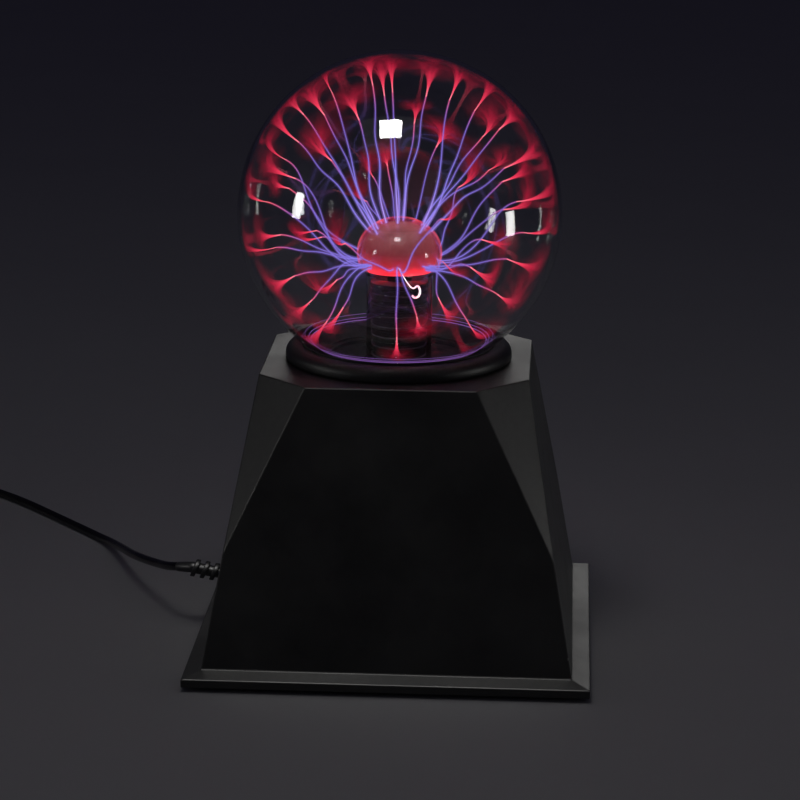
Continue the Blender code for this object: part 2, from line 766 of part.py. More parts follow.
def make_stem():
    """The glass stem that rises into the globe and ends in the electrode's bulb."""
    outer = bulb_outline(0, bulb_fall_to(STEM_RADIUS, 0))
    bore = STEM_RADIUS - STEM_WALL
    inner = bulb_outline(STEM_WALL, bulb_fall_to(bore, STEM_WALL))
    flare = NECK_RADIUS - GLOBE_WALL - GAP
    foot = NECK_BOTTOM
    outline = [
        *outer,
        (STEM_RADIUS, foot + 0.006),
        (flare, foot + 0.002),
        (flare, foot),
        (bore, foot),
        *reversed(inner),
    ]
    turned("stem_tube", outline, "globe_glass", steps=24)

    coating = STEM_WALL + GAP
    outside = bulb_outline(coating, COATING_SKIRT)
    inside = bulb_outline(coating + COATING_THICKNESS, COATING_SKIRT - 0.0004)
    turned("electrode_coating", [*outside, *reversed(inside)], "electrode_coating", steps=24)


def make_column():
    """The ribbed insulating column inside the stem, with its foot, contact and spring."""
    bottom = NECK_BOTTOM + GAP
    outline = [(COLUMN_BORE, COLUMN_TOP), (COLUMN_BORE, bottom), (COLUMN_RADIUS, bottom)]
    groove = COLUMN_RADIUS - COLUMN_GROOVE
    rings = int((COLUMN_TOP - bottom) / COLUMN_RING_PITCH)
    for ring in reversed(range(1, rings + 1)):
        low = COLUMN_TOP - ring * COLUMN_RING_PITCH
        outline += [
            (COLUMN_RADIUS, low),
            (groove, low + 0.0004),
            (groove, low + COLUMN_RING_PITCH - COLUMN_RING_WIDTH - 0.0004),
            (COLUMN_RADIUS, low + COLUMN_RING_PITCH - COLUMN_RING_WIDTH),
        ]
    outline.append((COLUMN_RADIUS, COLUMN_TOP))
    turned("insulator_column", outline, "column_plastic", steps=20)

    foot_top = NECK_BOTTOM - GAP
    foot_radius = NECK_RADIUS - GAP
    foot_bottom = foot_top - 0.005
    turned(
        "column_foot",
        [
            (COLUMN_BORE, foot_bottom),
            (foot_radius, foot_bottom),
            (foot_radius, foot_top),
            (COLUMN_BORE, foot_top),
        ],
        "column_plastic",
        steps=28,
    )

    cup_bottom = COLUMN_TOP + GAP
    cup_radius = 0.0075
    turned(
        "contact_cup",
        [
            (0, cup_bottom),
            (cup_radius, cup_bottom),
            (cup_radius, cup_bottom + 0.004),
            (cup_radius - 0.0008, cup_bottom + 0.004),
            (cup_radius - 0.0008, cup_bottom + 0.001),
            (0, cup_bottom + 0.001),
        ],
        "brass",
        steps=SMALL_STEPS,
    )
    wire = 0.0005
    low = cup_bottom + 0.001 + GAP + wire
    high = BULB_HEIGHT + BULB_RISE - STEM_WALL - COATING_THICKNESS - 3 * GAP - wire
    turns, steps = 4, 9
    coil = cup_radius - 0.0008 - GAP - wire
    spring = []
    for step in range(turns * steps + 1):
        share = step / (turns * steps)
        angle = math.tau * turns * share
        narrow = coil * (1 - 0.5 * share)
        spring.append((narrow * math.cos(angle), narrow * math.sin(angle), low + (high - low) * share))
    tube("contact_spring", spring, wire, "steel", sides=1)


# ---------------------------------------------------------------- electronics
def make_board():
    half_x, half_y = (size / 2 for size in BOARD_SIZE)
    board = extruded(
        "circuit_board",
        rectangle(half_x, half_y),
        BOARD_BOTTOM,
        BOARD_TOP,
        "circuit_laminate",
        at=(0, BOARD_CENTRE_Y, 0),
    )
    shoulder = BOARD_BOTTOM - GAP
    outline = [
        (0, PLATE_TOP + GAP),
        (PILLAR_RADIUS, PLATE_TOP + GAP),
        (PILLAR_RADIUS, shoulder),
        (PEG_RADIUS, shoulder),
        (PEG_RADIUS, BOARD_TOP + PEG_RISE),
        (0, BOARD_TOP + PEG_RISE + PEG_RADIUS / 2),
    ]
    for corner, (x, y) in corners_of(half_x - PILLAR_INSET, half_y - PILLAR_INSET).items():
        place = (x, y + BOARD_CENTRE_Y, 0)
        turned("board_pillar_" + corner, outline, "nylon", at=place, steps=12)
        hole = cylinder_cutter("board_hole_" + corner, PEG_RADIUS + GAP, 0, 2 * BOARD_TOP, 12)
        hole.location = place
        combine(board, hole)


def make_framed_core(name, low, high, leg, yoke, finish_name):
    """A closed magnetic core: a block with one window through it from front to rear."""
    core = block(name, low, high, finish_name)
    window_low = (low[0] + leg, low[1] - 0.01, low[2] + yoke)
    window_high = (high[0] - leg, high[1] + 0.01, high[2] - yoke)
    return combine(core, block(name + "_window", window_low, window_high))


def make_transformers():
    low = Vector((*FLYBACK_PLACE, ON_BOARD))
    high = low + Vector(FLYBACK_SIZE)
    leg = FLYBACK_SIZE[1]
    make_framed_core("flyback_core", low, high, leg, leg, "ferrite")
    middle = Vector((high.x - leg / 2, (low.y + high.y) / 2, 0))
    bore = leg / math.sqrt(2) + GAP
    outer = bore + FLYBACK_WINDING
    bottom, top = low.z + leg + GAP, high.z - leg - GAP
    turned(
        "flyback_winding",
        [(bore, bottom), (outer, bottom), (outer, top), (bore, top)],
        "component_black",
        at=middle,
        steps=24,
    )
    leave = middle + Vector((0, outer - 0.002, top + GAP))
    entry = Vector((0, 0, NECK_BOTTOM - 0.010))
    route = [
        leave,
        leave + Vector((-0.001, 0.001, 0.016)),
        leave.lerp(entry, 0.45),
        leave.lerp(entry, 0.75) + Vector((-0.006, -0.001, 0)),
        entry,
        (0, 0, COLUMN_TOP),
    ]
    tube("hv_lead", smooth_curve(route, 0.010), HV_LEAD_RADIUS, "lead_silicone", sides=2)

    low = Vector((*MAINS_PLACE, PLATE_TOP + GAP))
    high = low + Vector(MAINS_SIZE)
    make_framed_core("mains_transformer_core", low, high, MAINS_LEG, MAINS_YOKE, "ferrite")
    middle_x, middle_y = low.x + MAINS_LEG / 2, (low.y + high.y) / 2
    half_x, half_y = MAINS_WINDING_HALF
    bobbin = block(
        "mains_transformer_winding",
        (middle_x - half_x, middle_y - half_y, low.z + MAINS_YOKE + GAP),
        (middle_x + half_x, middle_y + half_y, high.z - MAINS_YOKE - GAP),
        "component_blue",
    )
    reach = MAINS_LEG / 2 + GAP
    limb_hole = block(
        "limb_hole",
        (middle_x - reach, low.y - GAP, 0),
        (middle_x + reach, high.y + GAP, 2 * high.z),
    )
    combine(bobbin, limb_hole)


def make_components():
    for name, (place, size, finish_name, rounding) in BOARD_PARTS.items():
        low = Vector(place) + UP * ON_BOARD
        block(name, low, low + Vector(size), finish_name, rounding=rounding)
    radius, tall = RESERVOIR_SIZE
    turned(
        "reservoir_capacitor",
        [(0, 0), (radius, 0), (radius, tall), (0, tall)],
        "component_blue",
        at=(*RESERVOIR_PLACE, ON_BOARD),
        steps=20,
    )
    radius, glass, cap = FUSE_RADIUS, FUSE_RADIUS - GAP, FUSE_CAP
    fuse = turned(
        "fuse",
        [
            (0, 0),
            (radius, 0),
            (radius, cap),
            (glass, cap),
            (glass, FUSE_LENGTH - cap),
            (radius, FUSE_LENGTH - cap),
            (radius, FUSE_LENGTH),
            (0, FUSE_LENGTH),
        ],
        "steel",
        at=(*FUSE_PLACE, ON_BOARD + radius + GAP),
        steps=12,
    )
    fuse.rotation_euler.y = math.pi / 2
    make_heat_sink()


def make_heat_sink():
    """A web with fins towards the rear, drawn from above and raised to its height."""
    width, deep, tall = HEAT_SINK_SIZE
    pitch = (width - HEAT_SINK_FIN) / (HEAT_SINK_FINS - 1)
    teeth = []
    for number in reversed(range(HEAT_SINK_FINS)):
        left = number * pitch
        right = left + HEAT_SINK_FIN
        teeth += [(right, HEAT_SINK_WEB), (right, deep), (left, deep), (left, HEAT_SINK_WEB)]
    comb = [(0, 0), (width, 0), *teeth[1:-1]]
    extruded("heat_sink", comb, 0, tall, "aluminium", at=(*HEAT_SINK_PLACE, ON_BOARD))


# ---------------------------------------------------------------- rear controls
def make_rocker(shell, panel):
    """The mains rocker: a framed body clipped in the wall and a key that tips on two pins."""
    bezel_x, bezel_y = (size / 2 for size in ROCKER_BEZEL)
    body_x, body_y = (size / 2 for size in ROCKER_BODY)
    well_x, well_y = (size / 2 for size in ROCKER_WELL)
    seat = add_object("rocker_seat", None, parent=panel, at=(ROCKER_ALONG, 0, 0))
    deep = HOUSING_WALL + 0.01
    open_x, open_y = body_x + GAP, body_y + GAP
    opening = block("rocker_opening", (-open_x, -open_y, -deep), (open_x, open_y, deep), parent=seat)
    combine(shell, opening)

    top = GAP + ROCKER_BEZEL_HEIGHT
    shape = stacked_shape(
        rectangle(bezel_x, bezel_y, 0.0008),
        [(1, 1, GAP), (1, 1, top - 0.0006), (0.94, 0.95, top)],
    )
    frame = finished("rocker_frame", shape, "switch_plastic", parent=seat)
    low, high = (-body_x, -body_y, -ROCKER_DEPTH), (body_x, body_y, top / 2)
    combine(frame, block("rocker_body", low, high, parent=seat), "UNION")
    low = (-well_x - GAP, -well_y - GAP, -ROCKER_WELL_DEPTH)
    high = (well_x + GAP, well_y + GAP, top + 0.01)
    combine(frame, block("rocker_well", low, high, parent=seat))
    pivot = (0, 0, -ROCKER_PIVOT_DEPTH)
    reach = body_x + 0.001
    pin_hole = cylinder_cutter("rocker_pin_hole", ROCKER_PIN + GAP, -reach, reach, parent=seat)
    pin_hole.location = pivot
    pin_hole.rotation_euler.y = math.pi / 2
    combine(frame, pin_hole)
    for side, place in (("upper", BLADE_SPACING / 2), ("lower", -BLADE_SPACING / 2)):
        blade = block(
            "rocker_blade_" + side,
            (-BLADE_HALF[0], place - BLADE_HALF[1], -ROCKER_DEPTH - BLADE_LENGTH),
            (BLADE_HALF[0], place + BLADE_HALF[1], -ROCKER_DEPTH + 0.001),
            parent=seat,
        )
        combine(frame, blade, "UNION")

    # The key's side view, as (up the wall, outwards) from its pivot, extruded across the well.
    tip, raised, dip = ROCKER_KEY_TIP, ROCKER_KEY_RAISED, ROCKER_KEY_DIP
    keel, root = ROCKER_KEY_KEEL, ROCKER_KEY_ROOT
    side_view = [(-tip, raised), (-keel, -root), (keel, -root), (tip, raised), (0, dip)]
    shape = stacked_shape(side_view, [(1, 1, -well_x), (1, 1, well_x)])
    bmesh.ops.rotate(
        shape,
        verts=shape.verts,
        cent=CENTRE,
        matrix=Matrix(((0, 0, 1), (1, 0, 0), (0, 1, 0))),
    )
    key = finished("rocker_key", shape, "switch_plastic", parent=seat, at=pivot)
    key.rotation_euler.x = -ROCKER_HALF_SWING
    pin_half = body_x - GAP
    pins = cylinder_cutter("rocker_pins", ROCKER_PIN, -pin_half, pin_half, 12, parent=key)
    pins.rotation_euler.y = math.pi / 2
    combine(key, pins, "UNION")


def make_slide_switch(shell, panel):
    """The mode switch: a knob held behind the wall that slides along a slot."""
    knob_x, knob_y = (size / 2 for size in SLIDE_KNOB)
    seat = add_object("slide_seat", None, parent=panel, at=(SLIDE_ALONG, 0, 0))
    reach, slot_y = knob_x + SLIDE_TRAVEL / 2 + GAP, knob_y + GAP
    slot = block("slide_slot", (-reach, -slot_y, -0.01), (reach, slot_y, 0.01), parent=seat)
    combine(shell, slot)
    inside = -HOUSING_WALL - GAP
    foot_x, foot_y = knob_x + SLIDE_FOOT_LIP, knob_y + SLIDE_FOOT_LIP
    foot_bottom = inside - SLIDE_FOOT_DEPTH
    pocket_x = foot_x + SLIDE_TRAVEL / 2 + GAP
    wide, tall = pocket_x + SLIDE_BODY_WALL, foot_y + SLIDE_BODY_WALL
    body = block(
        "slide_switch_body",
        (-wide, -tall, inside - SLIDE_BODY_DEPTH),
        (wide, tall, inside),
        "steel",
        parent=seat,
    )
    pocket = block(
        "slide_pocket",
        (-pocket_x, -foot_y - GAP, foot_bottom - GAP),
        (pocket_x, foot_y + GAP, inside + 0.01),
        parent=seat,
    )
    combine(body, pocket)
    knob = block(
        "slide_knob",
        (-knob_x, -knob_y, inside - SLIDE_FOOT_DEPTH / 3),
        (knob_x, knob_y, SLIDE_KNOB_RISE),
        "switch_plastic",
        rounding=0.0003,
        parent=seat,
    )
    knob.location.x = -SLIDE_TRAVEL / 2
    low, high = (-foot_x, -foot_y, foot_bottom), (foot_x, foot_y, inside)
    combine(knob, block("slide_knob_foot", low, high, parent=knob), "UNION")


def make_microphone(shell, panel):
    """The sound sensor's capsule behind a small hole in the wall."""
    seat = add_object("microphone_seat", None, parent=panel, at=(MICROPHONE_ALONG, 0, 0))
    combine(shell, cylinder_cutter("sound_hole", SOUND_HOLE_RADIUS, -0.01, 0.01, parent=seat))
    top = -HOUSING_WALL - GAP
    bottom = top - MICROPHONE_DEPTH
    outline = [
        (0, bottom),
        (MICROPHONE_RADIUS, bottom),
        (MICROPHONE_RADIUS, top),
        (SOUND_HOLE_RADIUS, top),
        (SOUND_HOLE_RADIUS, top - 0.0008),
        (0, top - 0.0008),
    ]
    turned("microphone", outline, "aluminium", parent=seat, steps=20)


def make_controls(shell):
    panel = add_anchor("rear_panel", on_wall(math.pi / 2, 0, CONTROL_HEIGHT))
    make_rocker(shell, panel)
    make_slide_switch(shell, panel)
    make_microphone(shell, panel)
    bpy.context.view_layer.update()
    behind = -ROCKER_DEPTH - BLADE_LENGTH - 0.003
    blades = panel.matrix_world @ Vector((ROCKER_ALONG, 0, behind))
    route = [
        blades,
        blades + Vector((-0.002, -0.010, -0.002)),
        (-0.015, 0.070, 0.040),
        (-0.035, 0.058, 0.034),
        (-0.048, 0.042, 0.026),
        TERMINAL + Vector((0, 0.0093, 0)),
    ]
    tube("switch_lead", smooth_curve(route, 0.007), SWITCH_LEAD_RADIUS, "component_black", sides=2)


# ---------------------------------------------------------------- mains lead
def make_strain_relief(shell, anchor, route):
    """The ribbed moulding that holds the lead in the wall, ending in a tail that bends with it."""
    neck, core, rib = RELIEF_NECK_RADIUS, RELIEF_CORE_RADIUS, RELIEF_DISC_RADIUS
    inside = -HOUSING_WALL - GAP
    first = GAP + RELIEF_FLANGE_WIDTH
    outline = [
        (0, inside - RELIEF_CLIP_WIDTH),
        (rib, inside - RELIEF_CLIP_WIDTH),
        (rib, inside),
        (neck, inside),
        (neck, GAP),
        (rib, GAP),
        (rib, first),
        (core, first),
    ]
    start = RELIEF_DISC_PITCH * 1.25
    soft = 0.0004
    for disc in range(3):
        low = start + disc * RELIEF_DISC_PITCH
        high = low + RELIEF_DISC_WIDTH
        outline += [
            (core, low),
            (rib - soft, low),
            (rib, low + soft),
            (rib, high - soft),
            (rib - soft, high),
            (core, high),
        ]
    last = start + 2 * RELIEF_DISC_PITCH + RELIEF_DISC_WIDTH
    outline += [(core, last + 0.001), (0, last + 0.001)]
    shape = turned_shape(outline, SMALL_STEPS)
    for point in shape.verts:
        if start - 0.001 < point.co.z < last + 0.0005:
            point.co.z -= point.co.y * math.tan(RELIEF_DISC_SLANT)
    relief = finished("strain_relief", shape, "cord_vinyl", parent=anchor)
    combine(shell, cylinder_cutter("cord_hole", neck + GAP, -0.01, 0.01, 20, parent=anchor))

    outward = anchor.matrix_world.to_3x3() @ UP
    root = anchor.matrix_world @ Vector((0, 0, last - 0.002))
    line = smooth_curve([root, root + outward * 0.003, *route[1:4]], 0.0015)
    travelled = 0.0
    tail = [line[0]]
    while travelled < RELIEF_TAIL_LENGTH:
        travelled += (line[len(tail)] - tail[-1]).length
        tail.append(line[len(tail)])
    narrow = (CORD_RADIUS + GAP) / core
    taper = as_mesh(tube("strain_relief_tail", tail, core, sides=4, taper=narrow))
    combine(relief, taper, "UNION")
    return tail[-1], tail[-1] - tail[-2]


def make_cord(shell):
    """The lead: strain relief, free stretch, coil with its tie, and plug."""
    anchor = add_anchor("cord_exit", on_wall(math.pi, 0, CORD_EXIT_HEIGHT))
    bpy.context.view_layer.update()
    route = [Vector(point) for point in CORD_ROUTE]
    tip, heading = make_strain_relief(shell, anchor, route)
    start = tip + heading.normalized() * 3 * GAP
    ahead = [point for point in route if point.x < start.x - 0.004]
    tube("cord_lead", smooth_curve([start, *ahead], 0.013), CORD_RADIUS, "cord_vinyl", sides=2)

    clip_end = -HOUSING_WALL - GAP - RELIEF_CLIP_WIDTH
    route_inside = [
        anchor.matrix_world @ Vector((0, 0, clip_end - 2 * GAP)),
        anchor.matrix_world @ Vector((0, 0, clip_end - 0.014)),
        (-0.078, 0.014, 0.029),
        (-0.064, 0.024, 0.0225),
        TERMINAL + Vector((-0.0056, 0, 0)),
    ]
    line = smooth_curve(route_inside, 0.006)
    tube("mains_lead_inside", line, CORD_RADIUS - GAP, "component_black", sides=2)
    make_coil()


def make_coil():
    """The coil with its tie, the short tail that leaves its top layer, and the plug."""
    lift = TIE_THICKNESS + GAP
    inner = COIL_RADIUS - 2 * CORD_RADIUS
    outer = COIL_RADIUS + 2 * CORD_RADIUS
    height = lift + COIL_LAYERS * 2 * CORD_RADIUS
    soft = CORD_RADIUS * 0.6
    outline = [
        (inner + soft, lift),
        (outer - soft, lift),
        (outer, lift + soft),
        (outer, height - soft),
        (outer - soft, height),
        (inner + soft, height),
        (inner, height - soft),
        (inner, lift + soft),
    ]
    turned("cord_coil", outline, "cord_vinyl", at=COIL_CENTRE, steps=24)

    turn = Matrix.Rotation(TIE_ANGLE, 4, "Z")
    band_at = add_anchor("tie_place", Matrix.Translation(COIL_CENTRE) @ turn)
    wall, half_width = TIE_THICKNESS, TIE_WIDTH / 2
    near = math.sqrt(inner**2 - half_width**2) - 2 * GAP
    far = outer + GAP
    tall = height + GAP
    low, high = (near - wall, -half_width, 0), (far + wall, half_width, tall + wall)
    tie = block("cord_tie", low, high, "black_rubber", parent=band_at)
    low, high = (near, -TIE_WIDTH, wall), (far, TIE_WIDTH, tall)
    combine(tie, block("tie_inside", low, high, parent=band_at))

    leave_angle = COIL_ENTRY_ANGLE + math.tau * COIL_TURNS
    radial = Vector((math.cos(leave_angle), math.sin(leave_angle), 0))
    heading = UP.cross(radial)
    leave = COIL_CENTRE + radial * (COIL_RADIUS + CORD_RADIUS)
    clear = math.sqrt((outer + GAP) ** 2 - COIL_RADIUS**2) + GAP
    rear = leave + heading * PLUG_START

    top_layer = lift + (2 * COIL_LAYERS - 1) * CORD_RADIUS
    plug_centre = PLUG_HALF[1]
    fallen = (plug_centre - top_layer) * clear / PLUG_START
    tail = [
        leave + heading * clear + UP * (top_layer + fallen),
        leave + heading * (clear + PLUG_START) / 2 + UP * (plug_centre + 0.0015),
        rear + UP * plug_centre - heading * GAP,
    ]
    tube("cord_tail", smooth_curve(tail, 0.008), CORD_RADIUS, "cord_vinyl", sides=2)
    make_plug(add_anchor("plug_place", facing(heading, UP, rear + UP * plug_centre)))


def make_plug(place):
    """The moulded plug and its two pins, pointing along the place's Z."""
    rings = [
        (0.30, 0.62, 0),
        (0.36, 0.74, 0.006),
        (0.66, 0.96, 0.016),
        (1, 1, 0.025),
        (1, 1, PLUG_LENGTH - 0.001),
        (0.95, 0.9, PLUG_LENGTH),
    ]
    shape = stacked_shape(rectangle(*PLUG_HALF, 0.0035), rings)
    finished("plug_body", shape, "cord_vinyl", parent=place)
    base, end = PLUG_LENGTH + GAP, PLUG_LENGTH + PIN_LENGTH
    outline = [
        (0, base),
        (PIN_RADIUS, base),
        (PIN_RADIUS, end - 0.001),
        (PIN_RADIUS * 0.5, end),
        (0, end),
    ]
    for name, side in (("left", -1), ("right", 1)):
        pin = turned("plug_pin_" + name, outline, "steel", parent=place, steps=12)
        pin.location.x = side * PIN_SPACING / 2


# ---------------------------------------------------------------- the whole object
def main():
    clear_scene()
    shell = make_housing()
    make_base_plate()
    make_feet()
    collar = make_collar()
    make_seat(collar)
    make_globe()
    make_stem()
    make_column()
    make_board()
    make_transformers()
    make_components()
    make_controls(shell)
    make_cord(shell)


main()
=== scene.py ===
"""Looks for a plasma ball: glass, discharge, plastics, lead and a small studio round the model."""

import functools
import json
import math
import random

import bmesh
import bpy
from mathutils import Matrix, Vector


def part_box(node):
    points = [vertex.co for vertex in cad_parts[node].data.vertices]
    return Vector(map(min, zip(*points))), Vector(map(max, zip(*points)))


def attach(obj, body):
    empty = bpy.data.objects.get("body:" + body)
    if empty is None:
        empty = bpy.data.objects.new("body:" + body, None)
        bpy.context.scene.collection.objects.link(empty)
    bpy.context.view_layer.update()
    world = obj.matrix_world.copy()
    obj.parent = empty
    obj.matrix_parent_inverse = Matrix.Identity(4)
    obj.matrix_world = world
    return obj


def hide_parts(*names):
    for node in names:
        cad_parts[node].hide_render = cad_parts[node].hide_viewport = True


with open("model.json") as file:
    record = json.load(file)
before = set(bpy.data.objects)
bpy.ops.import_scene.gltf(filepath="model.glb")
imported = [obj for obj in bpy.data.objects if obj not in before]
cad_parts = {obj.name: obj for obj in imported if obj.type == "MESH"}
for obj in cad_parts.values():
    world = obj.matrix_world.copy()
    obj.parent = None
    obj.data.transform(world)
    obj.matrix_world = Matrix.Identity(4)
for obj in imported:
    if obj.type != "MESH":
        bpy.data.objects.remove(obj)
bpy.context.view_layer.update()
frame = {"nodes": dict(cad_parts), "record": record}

bl_info = {
    "name": "Plasma ball looks",
    "version": (1, 0, 0),
    "blender": (4, 5, 0),
    "location": "View3D > Sidebar > Plasma ball",
    "description": "Builds the finished pieces and materials of a plasma ball",
    "category": "Object",
}

# ---------------------------------------------------------------- measures read from the frame
GLOBE_LOW, GLOBE_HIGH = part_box("glass_globe")
GLOBE_RADIUS = (GLOBE_HIGH.x - GLOBE_LOW.x) / 2
GLOBE_CENTRE = Vector((0, 0, GLOBE_HIGH.z - GLOBE_RADIUS))
NECK_BOTTOM = GLOBE_LOW.z
STEM_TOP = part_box("stem_tube")[1].z
COATING_LOW, COATING_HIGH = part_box("electrode_coating")
COLUMN_LOW, COLUMN_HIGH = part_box("insulator_column")
COLLAR_LOW, COLLAR_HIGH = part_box("collar_ring")
UP = Vector((0, 0, 1))

# ---------------------------------------------------------------- sizes of the finished pieces
# The stem's tube and foot, and its bulb: widest radius, and rise and fall from its widest level.
STEM_RADIUS = 0.0205
STEM_WALL = 0.0015
STEM_FOOT_RADIUS = 0.0227
BULB_RADIUS = 0.0255
BULB_RISE = 0.021
BULB_FALL = 0.024
BULB_WIDEST = STEM_TOP - BULB_RISE

# The column: the pitch of its rings, the height of each and the depth of the grooves between.
RING_PITCH = 0.00667
RING_HEIGHT = 0.0034
RING_COUNT = 10
GROOVE_DEPTH = 0.0018
COLUMN_BORE = 0.0035

# The discharge: how far along its length a flare starts to lie against the glass, how near the
# glass it comes as a share of the globe's radius, and the fins of lit gas on the bulb.
FLARE_TURN = 0.72
FLARE_REACH = 0.979
FLARE_STEPS, FLARE_SIDES = 14, 20
PATH_STEPS = 26
FIN_COUNT = 64
FIN_DEPTH = 0.0009

# Where each filament meets the glass: turn and rise about the globe's centre in degrees, and the
# width of its flare in millimetres.
LANDINGS = [
    (108, 59, 15), (-104, 78, 12), (119, 39, 16), (-153, 77, 14), (71, 58, 14), (-20, 66, 13),
    (86, 33, 9), (75, 22, 16), (50, 27, 14), (-43, 26, 10), (64, 3, 10), (-124, 32, 14),
    (-154, 52, 15), (163, 58, 12), (-168, 36, 12), (-147, 21, 10), (149, 4, 9), (-157, 8, 14),
    (-125, 1, 6), (137, -20, 7), (-109, -2, 6), (163, -14, 10), (-162, -13, 13),
    (-143, -22, 16), (-117, -21, 12), (-121, -39, 12), (167, -46, 11), (-142, -49, 13),
    (-88, -51, 8), (-78, -35, 12), (58, -55, 12), (-43, -44, 13), (-51, -16, 12),
    (-35, -28, 14), (-27, -15, 13), (-68, 8, 6), (-47, -3, 9), (-66, -12, 9), (36, -4, 10),
    (-13, 9, 14), (-17, 26, 14), (29, 35, 14), (-4, 55, 14), (37, 9, 9), (99, 10, 10),
    (106, 6, 9), (177, 45, 15), (162, 20, 10), (17, -11, 12), (110, -5, 8),
]

# The lead's centreline from inside its strain relief to the start of its coil.
LEAD_ROUTE = [
    (-0.1200, 0.0000, 0.0368),
    (-0.1302, 0.0000, 0.0385),
    (-0.1405, 0.0060, 0.0370),
    (-0.1490, 0.0180, 0.0333),
    (-0.1568, 0.0335, 0.0294),
    (-0.1660, 0.0510, 0.0256),
    (-0.1752, 0.0700, 0.0216),
    (-0.1840, 0.0910, 0.0172),
    (-0.1924, 0.1135, 0.0128),
    (-0.2005, 0.1340, 0.0088),
    (-0.2088, 0.1530, 0.0054),
    (-0.2175, 0.1675, 0.0035),
    (-0.2271, 0.1800, 0.0030),
    (-0.2448, 0.2010, 0.0029),
    (-0.2630, 0.2222, 0.0029),
    (-0.2816, 0.2435, 0.0029),
    (-0.2979, 0.2603, 0.0029),
    (-0.3086, 0.2702, 0.0029),
    (-0.3330, 0.2926, 0.0031),
]
LEAD_EXIT = Vector((-0.1075, 0.0, 0.0346))
COIL_CENTRE = Vector((-0.371, 0.281, 0.0))
COIL_ENTRY = math.radians(49)
COIL_RADIUS = 0.031
COIL_TURNS = 4.5
PLUG_START = 0.045
PLUG_LENGTH = 0.038
PLUG_HALF = (0.01765, 0.00685)
RELIEF_PITCH = 0.0062
RELIEF_RIB = 0.00575
RELIEF_CORE = 0.0036

# The lamps: place, width and height, the power that each follows, its share of that power, whether
# it lights dull surfaces, and whether gloss shows it.
LAMPS = {
    "key_light": ((-0.10, -0.55, 1.55), (0.9, 0.7), "key", 1.0, True, False),
    "fill_light": ((0.9, -1.2, 0.9), (0.8, 0.8), "key", 0.5, True, False),
    "window_glint": ((-0.122, -0.52, 1.712), (0.35, 0.37), "glint", 1.0, False, True),
    "left_window": ((-1.55, -0.50, 0.46), (0.20, 0.40), "glint", 0.14, False, True),
    "right_window": ((1.60, -0.14, 0.16), (0.20, 0.40), "glint", 0.14, False, True),
    "rear_softbox": ((0.30, 2.30, 0.75), (1.6, 0.9), "softbox", 1.0, True, True),
}

# The camera: its place, its turns in degrees, its lens in millimetres and its shift.
CAMERA_PLACE = (0.1019, -1.7412, 0.6147)
CAMERA_PITCH, CAMERA_YAW, CAMERA_ROLL = 14.305, 3.35, 0.422
CAMERA_LENS = 129.8
CAMERA_SHIFT = (0.00175, -0.0346)


# ---------------------------------------------------------------- what a user may change
class GlobeSettings(bpy.types.PropertyGroup):
    wall: bpy.props.FloatProperty(
        name="Glass wall", description="Thickness of the globe's glass",
        default=0.002, min=0.001, max=0.005, subtype="DISTANCE", unit="LENGTH",
    )
    tint: bpy.props.FloatVectorProperty(
        name="Glass tint", description="Colour of light that passes the glass",
        default=(0.97, 0.98, 1.0), size=3, min=0, max=1, subtype="COLOR",
    )
    coating: bpy.props.FloatVectorProperty(
        name="Coating colour", description="Colour of the electrode's coating under white light",
        default=(0.22, 0.12, 0.11), size=3, min=0, max=1, subtype="COLOR",
    )


class DischargeSettings(bpy.types.PropertyGroup):
    thread: bpy.props.FloatProperty(
        name="Filament radius", description="Radius of a filament's bright core",
        default=0.00031, min=0.0001, max=0.002, subtype="DISTANCE", unit="LENGTH",
    )
    thread_colour: bpy.props.FloatVectorProperty(
        name="Filament colour", description="Light of a filament between electrode and glass",
        default=(0.20, 0.16, 0.62), size=3, min=0, max=1, subtype="COLOR",
    )
    flare_colour: bpy.props.FloatVectorProperty(
        name="Flare colour", description="Light of a flare where a filament meets the glass",
        default=(0.60, 0.012, 0.05), size=3, min=0, max=1, subtype="COLOR",
    )
    seed: bpy.props.IntProperty(
        name="Seed", description="Changes how the filaments waver", default=7, min=0,
    )


class BodySettings(bpy.types.PropertyGroup):
    plastic: bpy.props.FloatVectorProperty(
        name="Housing colour", description="Colour of the housing's moulded plastic",
        default=(0.0125, 0.0128, 0.0135), size=3, min=0, max=1, subtype="COLOR",
    )
    roughness: bpy.props.FloatProperty(
        name="Housing roughness", description="Roughness of the housing's moulded plastic",
        default=0.44, min=0, max=1, subtype="FACTOR",
    )
    collar_rounding: bpy.props.FloatProperty(
        name="Collar rounding", description="Radius of the collar's outer edge",
        default=0.006, min=0.001, max=0.008, subtype="DISTANCE", unit="LENGTH",
    )


class LeadSettings(bpy.types.PropertyGroup):
    radius: bpy.props.FloatProperty(
        name="Lead radius", description="Radius of the mains lead",
        default=0.0028, min=0.002, max=0.004, subtype="DISTANCE", unit="LENGTH",
    )
    colour: bpy.props.FloatVectorProperty(
        name="Lead colour", description="Colour of the lead, its strain relief and its plug",
        default=(0.011, 0.011, 0.013), size=3, min=0, max=1, subtype="COLOR",
    )


class StageSettings(bpy.types.PropertyGroup):
    floor: bpy.props.FloatVectorProperty(
        name="Floor colour", description="Colour of the plain floor",
        default=(0.60, 0.60, 0.61), size=3, min=0, max=1, subtype="COLOR",
    )
    key: bpy.props.FloatProperty(
        name="Key light", description="Power of the soft light above", default=0.42, min=0,
        unit="POWER",
    )
    softbox: bpy.props.FloatProperty(
        name="Rear light", description="Power of the soft light behind the housing", default=5.5,
        min=0, unit="POWER",
    )
    glint: bpy.props.FloatProperty(
        name="Glint", description="Power of the windows that show in the glass", default=18.0,
        min=0, unit="POWER",
    )


